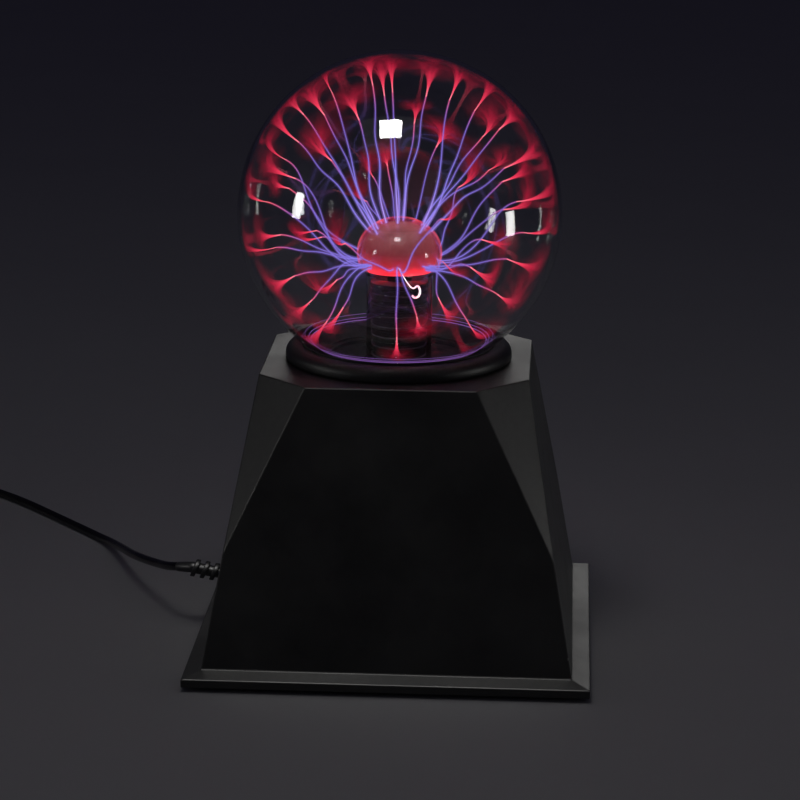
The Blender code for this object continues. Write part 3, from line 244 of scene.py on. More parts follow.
# ---------------------------------------------------------------- making pieces
def turned_shape(outline, steps=96, closed=True):
    """A bmesh of a (radius, height) outline turned about Z."""
    shape = bmesh.new()
    points = [shape.verts.new((radius, 0, height)) for radius, height in outline]
    edges = [shape.edges.new(pair) for pair in zip(points, points[1:])]
    if closed and outline[0][0] > 0:
        edges.append(shape.edges.new((points[-1], points[0])))
    bmesh.ops.spin(
        shape, geom=points + edges, cent=(0, 0, 0), axis=UP, dvec=(0, 0, 0),
        angle=math.tau, steps=steps, use_merge=True,
    )
    bmesh.ops.remove_doubles(shape, verts=shape.verts, dist=1e-7)
    return shape


def stacked_shape(rings, steps=32, corner=3.0):
    """A bmesh lofted through (half width, half depth, height) rings with rounded-off corners."""
    shape = bmesh.new()
    last = None
    for half_x, half_y, height in rings:
        ring = bmesh.ops.create_circle(shape, segments=steps, radius=1)["verts"]
        for point in ring:
            angle = math.atan2(point.co.y, point.co.x)
            c, s = math.cos(angle), math.sin(angle)
            point.co.x = half_x * math.copysign(abs(c) ** (2 / corner), c)
            point.co.y = half_y * math.copysign(abs(s) ** (2 / corner), s)
            point.co.z = height
        edges = [edge for edge in shape.edges if all(v in set(ring) for v in edge.verts)]
        if last:
            bmesh.ops.bridge_loops(shape, edges=last + edges)
        last = edges
    open_edges = [edge for edge in shape.edges if edge.is_boundary]
    bmesh.ops.holes_fill(shape, edges=open_edges, sides=0)
    return shape


def block_shape(low, high, rounding=0.0, along_y=False):
    """A block whose edges, or only those that run along Y, are rounded."""
    shape = bmesh.new()
    low, high = Vector(low), Vector(high)
    bmesh.ops.create_cube(shape, size=1)
    bmesh.ops.scale(shape, vec=high - low, verts=shape.verts)
    bmesh.ops.translate(shape, vec=(low + high) / 2, verts=shape.verts)
    if rounding:
        chosen = [
            edge for edge in shape.edges
            if not along_y or abs(edge.verts[0].co.y - edge.verts[1].co.y) > 1e-6
        ]
        bmesh.ops.bevel(
            shape, geom=chosen, offset=rounding, offset_type="OFFSET", segments=4,
            profile=0.5, affect="EDGES", clamp_overlap=True, material=-1,
        )
    return shape


def joined(*shapes):
    """One bmesh that holds several."""
    whole = shapes[0]
    for shape in shapes[1:]:
        mesh = bpy.data.meshes.new("joining")
        shape.to_mesh(mesh)
        shape.free()
        whole.from_mesh(mesh)
        bpy.data.meshes.remove(mesh)
    return whole


def piece(name, shape, material, replaces=(), body="base", sharp=40):
    """Makes a finished piece from a bmesh, at the origin, riding on a body."""
    bmesh.ops.recalc_face_normals(shape, faces=shape.faces)
    mesh = bpy.data.meshes.new(name)
    shape.to_mesh(mesh)
    shape.free()
    mesh.shade_smooth()
    mesh.set_sharp_from_angle(angle=math.radians(sharp))
    made = bpy.data.objects.new(name, mesh)
    bpy.context.scene.collection.objects.link(made)
    made.data.materials.append(material)
    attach(made, body)
    if replaces:
        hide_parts(*replaces)
    return made


def smooth_curve(points, spacing):
    """Evenly spaced points along one smooth curve through the given points."""
    knots = [Vector(point) for point in points]
    knots = [2 * knots[0] - knots[1], *knots, 2 * knots[-1] - knots[-2]]
    fine = []
    for before, start, end, after in zip(knots, knots[1:], knots[2:], knots[3:]):
        for step in range(16):
            t = step / 16
            linear = (end - before) * t
            square = (2 * before - 5 * start + 4 * end - after) * t**2
            cube = (3 * start - before - 3 * end + after) * t**3
            fine.append(start + (linear + square + cube) / 2)
    fine.append(knots[-2])
    total = sum((b - a).length for a, b in zip(fine, fine[1:]))
    count = max(2, round(total / spacing))
    kept, travelled = [fine[0]], 0.0
    for a, b in zip(fine, fine[1:]):
        length = (b - a).length
        while len(kept) < count and travelled + length >= total * len(kept) / count:
            kept.append(a.lerp(b, (total * len(kept) / count - travelled) / length))
        travelled += length
    return kept + [fine[-1]]


def curve_object(name, lines, sides=6):
    """A curve object of open splines, each a list of (point, radius)."""
    data = bpy.data.curves.new(name, "CURVE")
    data.dimensions = "3D"
    data.bevel_depth = 1.0
    data.bevel_resolution = sides
    data.use_fill_caps = True
    for line in lines:
        spline = data.splines.new("POLY")
        spline.points.add(len(line) - 1)
        for knot, (point, radius) in zip(spline.points, line):
            knot.co = (*point, 1)
            knot.radius = radius
    made = bpy.data.objects.new(name, data)
    bpy.context.scene.collection.objects.link(made)
    return made


def swept_shape(lines, sides=6):
    """A bmesh of round tubes along lists of (point, radius)."""
    guide = curve_object("guide", lines, sides)
    bpy.context.view_layer.update()
    graph = bpy.context.evaluated_depsgraph_get()
    mesh = bpy.data.meshes.new_from_object(guide.evaluated_get(graph))
    shape = bmesh.new()
    shape.from_mesh(mesh)
    bmesh.ops.remove_doubles(shape, verts=shape.verts, dist=1e-7)
    bpy.data.objects.remove(guide, do_unlink=True)
    return shape


def facing(outward, upward, at):
    """A placing whose Z points outward and whose Y points upward."""
    across = upward.cross(outward).normalized()
    turn = Matrix((across, outward.cross(across), outward)).transposed()
    return Matrix.Translation(at) @ turn.to_4x4()


def arc(middle, radius, start, end, steps):
    """Points on a flat arc about a middle, from a start angle to an end angle."""
    return [
        (
            middle[0] + radius * math.cos(start + (end - start) * step / steps),
            middle[1] + radius * math.sin(start + (end - start) * step / steps),
        )
        for step in range(steps + 1)
    ]


# ---------------------------------------------------------------- material groups
def set_sockets(node, values):
    """Links a node's inputs to the sockets given for them, and sets the others to their values."""
    for name, value in values.items():
        if isinstance(value, bpy.types.NodeSocket):
            node.id_data.links.new(value, node.inputs[name])
        else:
            node.inputs[name].default_value = value


def add_node(tree, kind, values=None, **settings):
    """A shader node with its settings and its inputs."""
    made = tree.nodes.new("ShaderNode" + kind)
    for name, value in settings.items():
        setattr(made, name, value)
    set_sockets(made, values or {})
    return made


def calculation(tree, operation, *values):
    """The output of a Math node on sockets or plain values."""
    return add_node(tree, "Math", dict(enumerate(values)), operation=operation).outputs[0]


def object_place(tree):
    """Object coordinates, on which the patterns lie."""
    return add_node(tree, "TexCoord").outputs["Object"]


def noise(tree, place, scale, detail=2.0, roughness=0.5):
    """Noise between 0 and 1."""
    values = {"Vector": place, "Scale": scale, "Detail": detail, "Roughness": roughness}
    return add_node(tree, "TexNoise", values).outputs["Fac"]


def stretched(tree, factor, low, high, least=0.0, most=1.0):
    """The factor's span from low to high, laid over the span from least to most."""
    values = {"Value": factor, "From Min": low, "From Max": high, "To Min": least, "To Max": most}
    return add_node(tree, "MapRange", values).outputs["Result"]


def bumped(tree, height, strength, distance):
    """The normal of a surface raised by a height."""
    values = {"Strength": strength, "Distance": distance, "Height": height}
    return add_node(tree, "Bump", values).outputs["Normal"]


def new_group(name, inputs, outputs):
    """An empty node group with named sockets, and its two end nodes."""
    group = bpy.data.node_groups.new(name, "ShaderNodeTree")
    for title, kind, value in inputs:
        socket = group.interface.new_socket(title, in_out="INPUT", socket_type=kind)
        socket.default_value = value
    for title, kind in outputs:
        group.interface.new_socket(title, in_out="OUTPUT", socket_type=kind)
    return group, group.nodes.new("NodeGroupInput"), group.nodes.new("NodeGroupOutput")


def grain_group():
    """Moulded texture: fine pits for a bump, and a slow mottle for colour and roughness."""
    known = bpy.data.node_groups.get("Moulded grain")
    if known:
        return known
    group, given, result = new_group(
        "Moulded grain",
        [("Grains per metre", "NodeSocketFloat", 2200.0),
         ("Mottle scale", "NodeSocketFloat", 22.0)],
        [("Height", "NodeSocketFloat"), ("Mottle", "NodeSocketFloat")],
    )
    place = object_place(group)
    pits = add_node(
        group, "TexVoronoi",
        {"Vector": place, "Scale": given.outputs["Grains per metre"]}, feature="SMOOTH_F1",
    )
    soft = noise(group, place, given.outputs["Grains per metre"])
    slow = noise(group, place, given.outputs["Mottle scale"], 6.0, 0.62)
    height = calculation(group, "ADD", pits.outputs["Distance"], soft)
    set_sockets(result, {"Height": height, "Mottle": slow})
    return group


def dust_group():
    """Dust that settles on faces that look up, in broken patches."""
    known = bpy.data.node_groups.get("Settled dust")
    if known:
        return known
    group, given, result = new_group(
        "Settled dust",
        [("Amount", "NodeSocketFloat", 0.3), ("Speck scale", "NodeSocketFloat", 180.0)],
        [("Mask", "NodeSocketFloat")],
    )
    place = object_place(group)
    normal = add_node(group, "NewGeometry").outputs["Normal"]
    upward = add_node(group, "SeparateXYZ", {"Vector": normal}).outputs["Z"]
    level = stretched(group, upward, 0.1, 0.95)
    specks = noise(group, place, given.outputs["Speck scale"], 8.0, 0.7)
    broken = stretched(group, specks, 0.35, 0.75)
    lying = calculation(group, "MULTIPLY", level, broken)
    mask = calculation(group, "MULTIPLY", lying, given.outputs["Amount"])
    set_sockets(result, {"Mask": mask})
    return group


def reach_group():
    """How far out from the globe's centre a point lies, as a share of the globe's radius."""
    known = bpy.data.node_groups.get("Reach from centre")
    if known:
        return known
    group, _, result = new_group("Reach from centre", [], [("Reach", "NodeSocketFloat")])
    offset, shrink = tuple(-GLOBE_CENTRE / GLOBE_RADIUS), (1 / GLOBE_RADIUS,) * 3
    centred = add_node(
        group, "Mapping", {"Vector": object_place(group), "Location": offset, "Scale": shrink}
    )
    length = add_node(
        group, "VectorMath", {0: centred.outputs["Vector"]}, operation="LENGTH"
    )
    set_sockets(result, {"Reach": length.outputs["Value"]})
    return group


def place_group(tree, group, values=None):
    """A group placed in a material, with its own values."""
    made = tree.nodes.new("ShaderNodeGroup")
    made.node_tree = group
    set_sockets(made, values or {})
    return made


def colour_ramp(tree, factor, stops):
    """A ramp through (place, colour) stops."""
    made = tree.nodes.new("ShaderNodeValToRGB")
    ramp = made.color_ramp
    while len(ramp.elements) < len(stops):
        ramp.elements.new(1.0)
    for element, (place, colour) in zip(ramp.elements, stops):
        element.position = place
        element.color = (*colour, 1)
    tree.links.new(factor, made.inputs["Fac"])
    return made.outputs["Color"]


def value_ramp(tree, factor, stops):
    """A ramp through (place, value) stops."""
    return colour_ramp(tree, factor, [(place, (value,) * 3) for place, value in stops])


def new_material(name):
    """A material with its node tree and its shader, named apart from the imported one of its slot."""
    made = bpy.data.materials.new(name + "_finish")
    made.use_nodes = True
    return made, made.node_tree, made.node_tree.nodes["Principled BSDF"]


def made_once(finish):
    """Lets a finish be made once for each name, and found again after that."""
    @functools.wraps(finish)
    def found_or_made(name, *values, **named):
        return bpy.data.materials.get(name + "_finish") or finish(name, *values, **named)
    return found_or_made


def scaled(colour, share):
    """A colour made darker or paler."""
    return tuple(min(1.0, channel * share) for channel in colour)


# ---------------------------------------------------------------- finishes
@made_once
def moulded(name, colour, roughness, grains=2200.0, depth=0.00004, slow=22.0, dust=0.25,
            dust_colour=(0.20, 0.19, 0.18), spread=0.12, tones=(0.78, 1.3)):
    """Moulded plastic or rubber: fine grain, slow mottle in shade and gloss, and settled dust."""
    made, tree, shader = new_material(name)
    grain = place_group(tree, grain_group(), {"Grains per metre": grains, "Mottle scale": slow})
    lying = place_group(tree, dust_group(), {"Amount": dust})
    mottle, mask = grain.outputs["Mottle"], lying.outputs["Mask"]
    shade = colour_ramp(
        tree, mottle, [(0.3, scaled(colour, tones[0])), (0.7, scaled(colour, tones[1]))]
    )
    dusty = add_node(
        tree, "Mix", {"Factor": mask, 6: shade, 7: (*dust_colour, 1)}, data_type="RGBA"
    )
    gloss = stretched(tree, mottle, 0.3, 0.7, roughness - spread / 2, roughness + spread / 2)
    set_sockets(shader, {
        "Base Color": dusty.outputs[2],
        "Roughness": calculation(tree, "MULTIPLY_ADD", mask, 0.4, gloss),
        "Normal": bumped(tree, grain.outputs["Height"], 0.5, depth),
    })
    made.diffuse_color = (*colour, 1)
    return made


@made_once
def ringed(name, colour, lowest, pitch):
    """Glossy black column with painted highlights along its ring edges and painted shade in its
    grooves.
    """
    made, tree, shader = new_material(name)
    grain = place_group(tree, grain_group(), {"Grains per metre": 1200.0, "Mottle scale": 60.0})
    place = object_place(tree)
    height = add_node(tree, "SeparateXYZ", {"Vector": place}).outputs["Z"]
    turns = calculation(tree, "DIVIDE", calculation(tree, "SUBTRACT", height, lowest), pitch)
    share = calculation(tree, "FRACT", turns)
    # Painted highlight: each ring's edges are painted fourteen times paler than the plastic. Painted
    # shade: the grooves between the rings are painted darker.
    groove_shade, edge = scaled(colour, 0.6), scaled(colour, 14.0)
    shade = colour_ramp(
        tree, share,
        [(0.0, edge), (0.05, groove_shade), (0.44, groove_shade), (0.49, edge), (0.55, colour), (0.94, colour),
         (1.0, edge)],
    )
    set_sockets(shader, {
        "Base Color": shade,
        "Roughness": stretched(tree, grain.outputs["Mottle"], 0.0, 1.0, 0.16, 0.34),
        "Normal": bumped(tree, grain.outputs["Height"], 0.3, 0.00002),
        "Coat Weight": 0.6,
    })
    return made


@made_once
def brushed(name, colour, roughness, grains=900.0):
    """Bare metal with fine drawn lines and slightly uneven gloss."""
    made, tree, shader = new_material(name)
    place = object_place(tree)
    drawn = add_node(tree, "Mapping", {"Vector": place, "Scale": (1, 1, 0.05)})
    lines = noise(tree, drawn.outputs["Vector"], grains, 4.0)
    set_sockets(shader, {
        "Base Color": colour_ramp(
            tree, lines, [(0.3, scaled(colour, 0.85)), (0.7, scaled(colour, 1.1))]
        ),
        "Roughness": stretched(tree, lines, 0.0, 1.0, roughness - 0.08, roughness + 0.12),
        "Normal": bumped(tree, lines, 0.3, 0.00002),
        "Metallic": 1.0,
    })
    made.diffuse_color = (*colour, 1)
    return made


@made_once
def laminate(name):
    """Green board with paler lines of track under its lacquer."""
    made, tree, shader = new_material(name)
    place = object_place(tree)
    track = add_node(
        tree, "TexBrick",
        {"Vector": place, "Scale": 90.0, "Mortar Size": 0.02, "Color1": (0.03, 0.17, 0.07, 1),
         "Color2": (0.04, 0.20, 0.09, 1), "Mortar": (0.10, 0.36, 0.16, 1)},
    )
    set_sockets(shader, {
        "Base Color": track.outputs["Color"],
        "Roughness": 0.35,
        "Normal": bumped(tree, track.outputs["Fac"], 0.4, 0.0001),
    })
    return made


@made_once
def wound(name, colour):
    """Winding tape: bands that run round, with a slight sheen."""
    made, tree, shader = new_material(name)
    place = object_place(tree)
    bands = add_node(
        tree, "TexWave", {"Vector": place, "Scale": 160.0, "Distortion": 1.5, "Detail": 2.0},
        wave_type="BANDS", bands_direction="Z",
    )
    set_sockets(shader, {
        "Base Color": colour_ramp(
            tree, bands.outputs["Fac"], [(0.1, scaled(colour, 0.6)), (0.8, scaled(colour, 1.3))]
        ),
        "Roughness": 0.4,
        "Normal": bumped(tree, bands.outputs["Fac"], 0.5, 0.0002),
    })
    return made


@made_once
def clear_glass(name, tint, smear=0.03, sheen=0.0):
    """Blown glass: clear, faintly uneven, with thin smears that dull it here and there."""
    made, tree, shader = new_material(name)
    place = object_place(tree)
    patches = noise(tree, place, 26.0, 5.0, 0.6)
    waves = noise(tree, place, 9.0, 1.0)
    set_sockets(shader, {
        "Base Color": (*tint, 1),
        "Transmission Weight": 1.0,
        "IOR": 1.47,
        "Sheen Weight": sheen,
        "Sheen Tint": (0.36, 0.26, 1.0, 1),
        "Sheen Roughness": 0.08,
        "Roughness": stretched(tree, patches, 0.55, 0.8, 0.0, smear),
        "Normal": bumped(tree, waves, 0.1, 0.0003),
    })
    made.diffuse_color = (*tint, 0.2)
    return made


def electrode_finish(colour):
    """Smoky conductive coating, lit red from the discharge most strongly at its lower edge."""
    made, tree, shader = new_material("electrode_coating")
    place = object_place(tree)
    height = add_node(tree, "SeparateXYZ", {"Vector": place}).outputs["Z"]
    rise = stretched(tree, height, COATING_LOW.z, COATING_HIGH.z)
    streaks = noise(tree, place, 130.0, 6.0, 0.65)
    uneven = calculation(tree, "SUBTRACT", streaks, 0.5)
    glow = colour_ramp(
        tree, calculation(tree, "MULTIPLY_ADD", uneven, 0.22, rise),
        [(0.0, (1.0, 0.05, 0.07)), (0.04, (0.95, 0.02, 0.035)), (0.20, (0.30, 0.006, 0.012)),
         (0.45, (0.105, 0.010, 0.013)), (0.8, (0.085, 0.022, 0.024)), (1.0, (0.12, 0.03, 0.034))],
    )
    set_sockets(shader, {
        "Base Color": colour_ramp(
            tree, streaks, [(0.3, scaled(colour, 0.7)), (0.75, scaled(colour, 1.5))]
        ),
        "Emission Color": glow,
        "Emission Strength": 1.5,
        "Roughness": 0.35,
        "Sheen Weight": 1.0,
        "Sheen Tint": (1.0, 0.06, 0.12, 1),
        "Sheen Roughness": 0.12,
        "Normal": bumped(tree, streaks, 0.3, 0.0001),
    })
    return made


def discharge_finish(name, stops, alphas, strength):
    """Glowing gas whose colour and thinness follow the distance from the globe's centre."""
    made, tree, shader = new_material(name)
    reach = place_group(tree, reach_group()).outputs["Reach"]
    glowing(shader, strength, colour_ramp(tree, reach, stops), value_ramp(tree, reach, alphas))
    return made


def flare_finish(name, colour):
    """A flare's gas: bright pink where the filament ends, thinning in streaks toward its lip."""
    made, tree, shader = new_material(name)
    along = add_node(tree, "SeparateXYZ", {"Vector": add_node(tree, "UVMap").outputs["UV"]})
    share = along.outputs["X"]
    glow = colour_ramp(
        tree, share,
        [(0.0, (1.0, 0.22, 0.30)), (0.2, (0.95, 0.05, 0.11)), (0.55, colour),
         (1.0, scaled(colour, 0.45))],
    )
    thin = value_ramp(
        tree, share,
        [(0.0, 0.85), (0.12, 0.5), (0.35, 0.30), (0.62, 0.17), (0.82, 0.08), (1.0, 0.0)],
    )
    lengthwise = calculation(tree, "MULTIPLY", share, 1.5)
    around = calculation(tree, "MULTIPLY", along.outputs["Y"], 3.0)
    long_way = add_node(tree, "CombineXYZ", {"X": lengthwise, "Y": around}).outputs["Vector"]
    broken = stretched(tree, noise(tree, long_way, 1.6, 3.0), 0.36, 0.66, 0.12, 1.25)
    glowing(shader, 1.3, glow, calculation(tree, "MULTIPLY", thin, broken))
    return made


def glowing(shader, strength, colour, alpha=1.0):
    """Turns a shader into one that only gives light."""
    set_sockets(shader, {
        "Base Color": (0, 0, 0, 1),
        "Specular IOR Level": 0.0,
        "Roughness": 1.0,
        "Emission Color": colour,
        "Emission Strength": strength,
        "Alpha": alpha,
    })


def slot_finish(slot):
    """The finish of a CAD node, by its material slot in the record."""
    body, lead = bpy.context.scene.ball_body, bpy.context.scene.ball_lead
    finishes = {
        "housing_plastic": lambda: moulded(
            "housing_plastic", body.plastic, body.roughness, 2000.0, 0.00006, 14.0, 0.16
        ),
        "collar_plastic": lambda: moulded(
            "collar_plastic", (0.030, 0.030, 0.031), 0.46, 1500.0, 0.00010, 60.0, 0.16
        ),
        "black_rubber": lambda: moulded(
            "black_rubber", (0.011, 0.011, 0.011), 0.72, 1800.0, 0.00008
        ),
        "globe_glass": lambda: clear_glass("stem_glass", (0.97, 0.98, 1.0)),
        "electrode_coating": lambda: moulded("coating_plain", (0.3, 0.2, 0.19), 0.5),
        "column_plastic": lambda: ringed(
            "column_plastic", (0.016, 0.016, 0.018), COLUMN_HIGH.z - RING_COUNT * RING_PITCH,
            RING_PITCH,
        ),
        "cord_vinyl": lambda: moulded(
            "cord_vinyl", lead.colour, 0.22, 900.0, 0.00002, 30.0, 0.05, spread=0.08
        ),
        "switch_plastic": lambda: moulded(
            "switch_plastic", (0.014, 0.014, 0.015), 0.26, 3000.0, 0.00002, 60.0, 0.1
        ),
        "steel": lambda: brushed("steel", (0.55, 0.55, 0.56), 0.3),
        "brass": lambda: brushed("brass", (0.75, 0.56, 0.26), 0.3),
        "aluminium": lambda: brushed("aluminium", (0.70, 0.71, 0.72), 0.4),
        "circuit_laminate": lambda: laminate("circuit_laminate"),
        "ferrite": lambda: moulded("ferrite", (0.05, 0.05, 0.052), 0.6, 2500.0, 0.0001),
        "component_black": lambda: moulded("component_black", (0.02, 0.02, 0.022), 0.45),
        "component_blue": lambda: moulded("component_blue", (0.05, 0.10, 0.28), 0.4),
        "nylon": lambda: moulded("nylon", (0.80, 0.79, 0.75), 0.5),
        "lead_silicone": lambda: moulded("lead_silicone", (0.45, 0.05, 0.04), 0.45),
    }
    return finishes[slot]()


# ---------------------------------------------------------------- operators
def lit_from_behind():
    """The pieces that the soft light behind falls on, which leaves the glass and floor alone."""
    known = bpy.data.collections.get("lit_from_behind")
    if known:
        return known
    made = bpy.data.collections.new("lit_from_behind")
    for node in ("housing_shell", "rocker_frame", "slide_switch_body", "microphone"):
        made.objects.link(frame["nodes"][node])
    return made


class BALL_OT_stage(bpy.types.Operator):
    """Plain pale floor, soft lights above and at both sides, and the camera"""

    bl_idname = "ball.stage"
    bl_label = "Stage"

    def execute(self, context):
        settings = context.scene.ball_stage
        floor_shape = bmesh.new()
        bmesh.ops.create_grid(floor_shape, x_segments=8, y_segments=8, size=8.0)
        mesh = bpy.data.meshes.new("floor")
        floor_shape.to_mesh(mesh)
        floor_shape.free()
        floor = bpy.data.objects.new("floor", mesh)
        context.scene.collection.objects.link(floor)
        floor.data.materials.append(
            moulded(
                "floor_paint", settings.floor, 0.8, 300.0, 0.0001, 5.0, 0.0, spread=0.04,
                tones=(0.98, 1.02),
            )
        )
        for name, (place, size, power, share, lights, reflects) in LAMPS.items():
            self.light(name, place, size, getattr(settings, power) * share, lights, reflects)
        softbox = bpy.data.objects["rear_softbox"]
        softbox.visible_transmission = False
        softbox.light_linking.receiver_collection = lit_from_behind()
        world = bpy.data.worlds.new("studio")
        world.use_nodes = True
        background = world.node_tree.nodes["Background"]
        set_sockets(background, {"Color": (0.6, 0.55, 1.0, 1), "Strength": 0.014})
        context.scene.world = world
        context.scene.view_settings.view_transform = "Standard"
        self.camera(context)
        return {"FINISHED"}

    def light(self, name, place, size, power, lights, reflects):
        """A rectangular lamp that points at the globe and that the camera doesn't see."""
        data = bpy.data.lights.new(name, "AREA")
        data.shape = "RECTANGLE"
        data.size, data.size_y = size
        data.energy = power
        data.color = (1.0, 0.99, 0.97)
        lamp = bpy.data.objects.new(name, data)
        bpy.context.scene.collection.objects.link(lamp)
        lamp.location = place
        lamp.visible_diffuse = lights
        lamp.visible_glossy = reflects
        aim = GLOBE_CENTRE - Vector(place)
        back = -aim.normalized()
        across = Vector((1, 0, 0)) if abs(back.x) < 0.7 else Vector((0, 1, 0))
        across = (across - back * across.dot(back)).normalized()
        lamp.rotation_euler = Matrix((across, back.cross(across), back)).transposed().to_euler()
        lamp.visible_camera = False
        return lamp

    def camera(self, context):
        """The camera, turned by its pitch, then its yaw, then its roll."""
        pitch, yaw, roll = map(math.radians, (CAMERA_PITCH, CAMERA_YAW, CAMERA_ROLL))
        forward = Vector(
            (-math.sin(yaw) * math.cos(pitch), math.cos(yaw) * math.cos(pitch), -math.sin(pitch))
        )
        right = forward.cross(UP).normalized()
        upward = right.cross(forward)
        turned_right = math.cos(roll) * right + math.sin(roll) * upward
        turned_up = math.cos(roll) * upward - math.sin(roll) * right
        turn = Matrix((turned_right, turned_up, -forward)).transposed().to_4x4()
        data = bpy.data.cameras.new("camera")
        data.sensor_width = 36.0
        data.lens = CAMERA_LENS
        data.shift_x, data.shift_y = CAMERA_SHIFT
        data.clip_start = 0.05
        data.clip_end = 40.0
        camera = bpy.data.objects.new("camera", data)
        context.scene.collection.objects.link(camera)
        camera.matrix_world = Matrix.Translation(CAMERA_PLACE) @ turn
        context.scene.camera = camera


class BALL_OT_cad_finishes(bpy.types.Operator):
    """Gives every CAD node that stays in view a finish by its material slot"""

    bl_idname = "ball.cad_finishes"
    bl_label = "Finishes of the CAD nodes"

    def execute(self, context):
        for row in frame["record"]["subparts"]:
            node = frame["nodes"][row["node"]]
            node.data.materials.clear()
            if row["node"] == "contact_cup":
                node.data.materials.append(brushed("blackened_brass", (0.035, 0.028, 0.025), 0.45))
            elif "winding" in row["node"]:
                node.data.materials.append(wound("winding_tape", (0.42, 0.30, 0.10)))
            else:
                node.data.materials.append(slot_finish(row["material_slot"]))
        return {"FINISHED"}


class BALL_OT_globe(bpy.types.Operator):
    """The sealed glass globe with its short neck"""

    bl_idname = "ball.globe"
    bl_label = "Globe"

    def execute(self, context):
        settings = context.scene.ball_globe
        low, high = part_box("column_foot")
        neck = (high.x - low.x) / 2 + 0.0003
        middle = (0, GLOBE_CENTRE.z)
        outline = []
        for wall in (settings.wall, 0):
            radius, start = GLOBE_RADIUS - wall, neck - wall
            lowest = math.asin(start / radius) - math.pi / 2
            side = [(start, NECK_BOTTOM), *arc(middle, radius, lowest, math.pi / 2, 56)]
            side[-1] = (0, GLOBE_CENTRE.z + radius)
            outline += side[::-1] if wall else side
        glass = clear_glass("globe_glass", settings.tint, 0.02, 0.45)
        piece("globe", turned_shape(outline, 112), glass, ["glass_globe"])
        return {"FINISHED"}


def bulb_outline(inset, lowest):
    """The bulb's side from its top down to a height."""
    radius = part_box("stem_tube")[1].x - inset
    rise, fall = BULB_RISE - inset, BULB_FALL - inset
    upper = [
        (radius * math.sin(angle), BULB_WIDEST + rise * math.cos(angle))
        for angle in (math.pi / 2 * step / 18 for step in range(19))
    ]
    last = math.asin(min(1.0, (BULB_WIDEST - lowest) / fall))
    lower = [
        (radius * math.cos(last * step / 10), BULB_WIDEST - fall * math.sin(last * step / 10))
        for step in range(1, 11)
    ]
    return upper + lower


class BALL_OT_electrode(bpy.types.Operator):
    """The glass stem with its bulb, the coating inside it and the ribbed column"""

    bl_idname = "ball.electrode"
    bl_label = "Stem and electrode"

    def execute(self, context):
        bore, hollow = STEM_RADIUS - STEM_WALL, BULB_RADIUS - STEM_WALL
        drop = BULB_FALL * math.sqrt(1 - (STEM_RADIUS / BULB_RADIUS) ** 2)
        inner_drop = (BULB_FALL - STEM_WALL) * math.sqrt(1 - (bore / hollow) ** 2)
        outline = [
            *bulb_outline(0, BULB_WIDEST - drop),
            (STEM_RADIUS, NECK_BOTTOM + 0.006),
            (STEM_FOOT_RADIUS, NECK_BOTTOM + 0.002),
            (STEM_FOOT_RADIUS, NECK_BOTTOM),
            (bore, NECK_BOTTOM),
            *reversed(bulb_outline(STEM_WALL, BULB_WIDEST - inner_drop)),
        ]
        glass = clear_glass("bulb_glass", (0.98, 0.96, 0.98), 0.04)
        piece("stem", turned_shape(outline, 80), glass, ["stem_tube"])

        coating = STEM_WALL + 0.0003
        outer = bulb_outline(coating, COATING_LOW.z)
        inner = bulb_outline(coating + 0.0005, COATING_LOW.z + 0.0004)
        shade = electrode_finish(context.scene.ball_globe.coating)
        piece(
            "electrode", turned_shape([*outer, *reversed(inner)], 80), shade,
            ["electrode_coating"],
        )
        self.column()
        return {"FINISHED"}

    def column(self):
        """Full rings between narrow grooves, each ring's edges softened."""
        radius = COLUMN_HIGH.x
        groove, soft = radius - GROOVE_DEPTH, 0.0008
        outline = [
            (COLUMN_BORE, COLUMN_HIGH.z), (COLUMN_BORE, COLUMN_LOW.z), (radius, COLUMN_LOW.z)
        ]
        count = int((COLUMN_HIGH.z - COLUMN_LOW.z) / RING_PITCH)
        for number in range(count, 0, -1):
            low = COLUMN_HIGH.z - number * RING_PITCH
            top = low + RING_PITCH - RING_HEIGHT
            outline += [
                (radius - soft * 0.3, low - soft * 0.3), (radius - soft, low),
                (groove + soft, low + 0.0002), (groove, low + soft),
                (groove, top - soft), (groove + soft, top - 0.0002),
                (radius - soft, top), (radius - soft * 0.3, top + soft * 0.3), (radius, top + soft),
                (radius, top + RING_HEIGHT - soft),
            ]
        outline[-1] = (radius, COLUMN_HIGH.z - soft)
        outline.append((radius - soft, COLUMN_HIGH.z))
        piece(
            "column", turned_shape(outline, 72), slot_finish("column_plastic"),
            ["insulator_column"], sharp=60,
        )


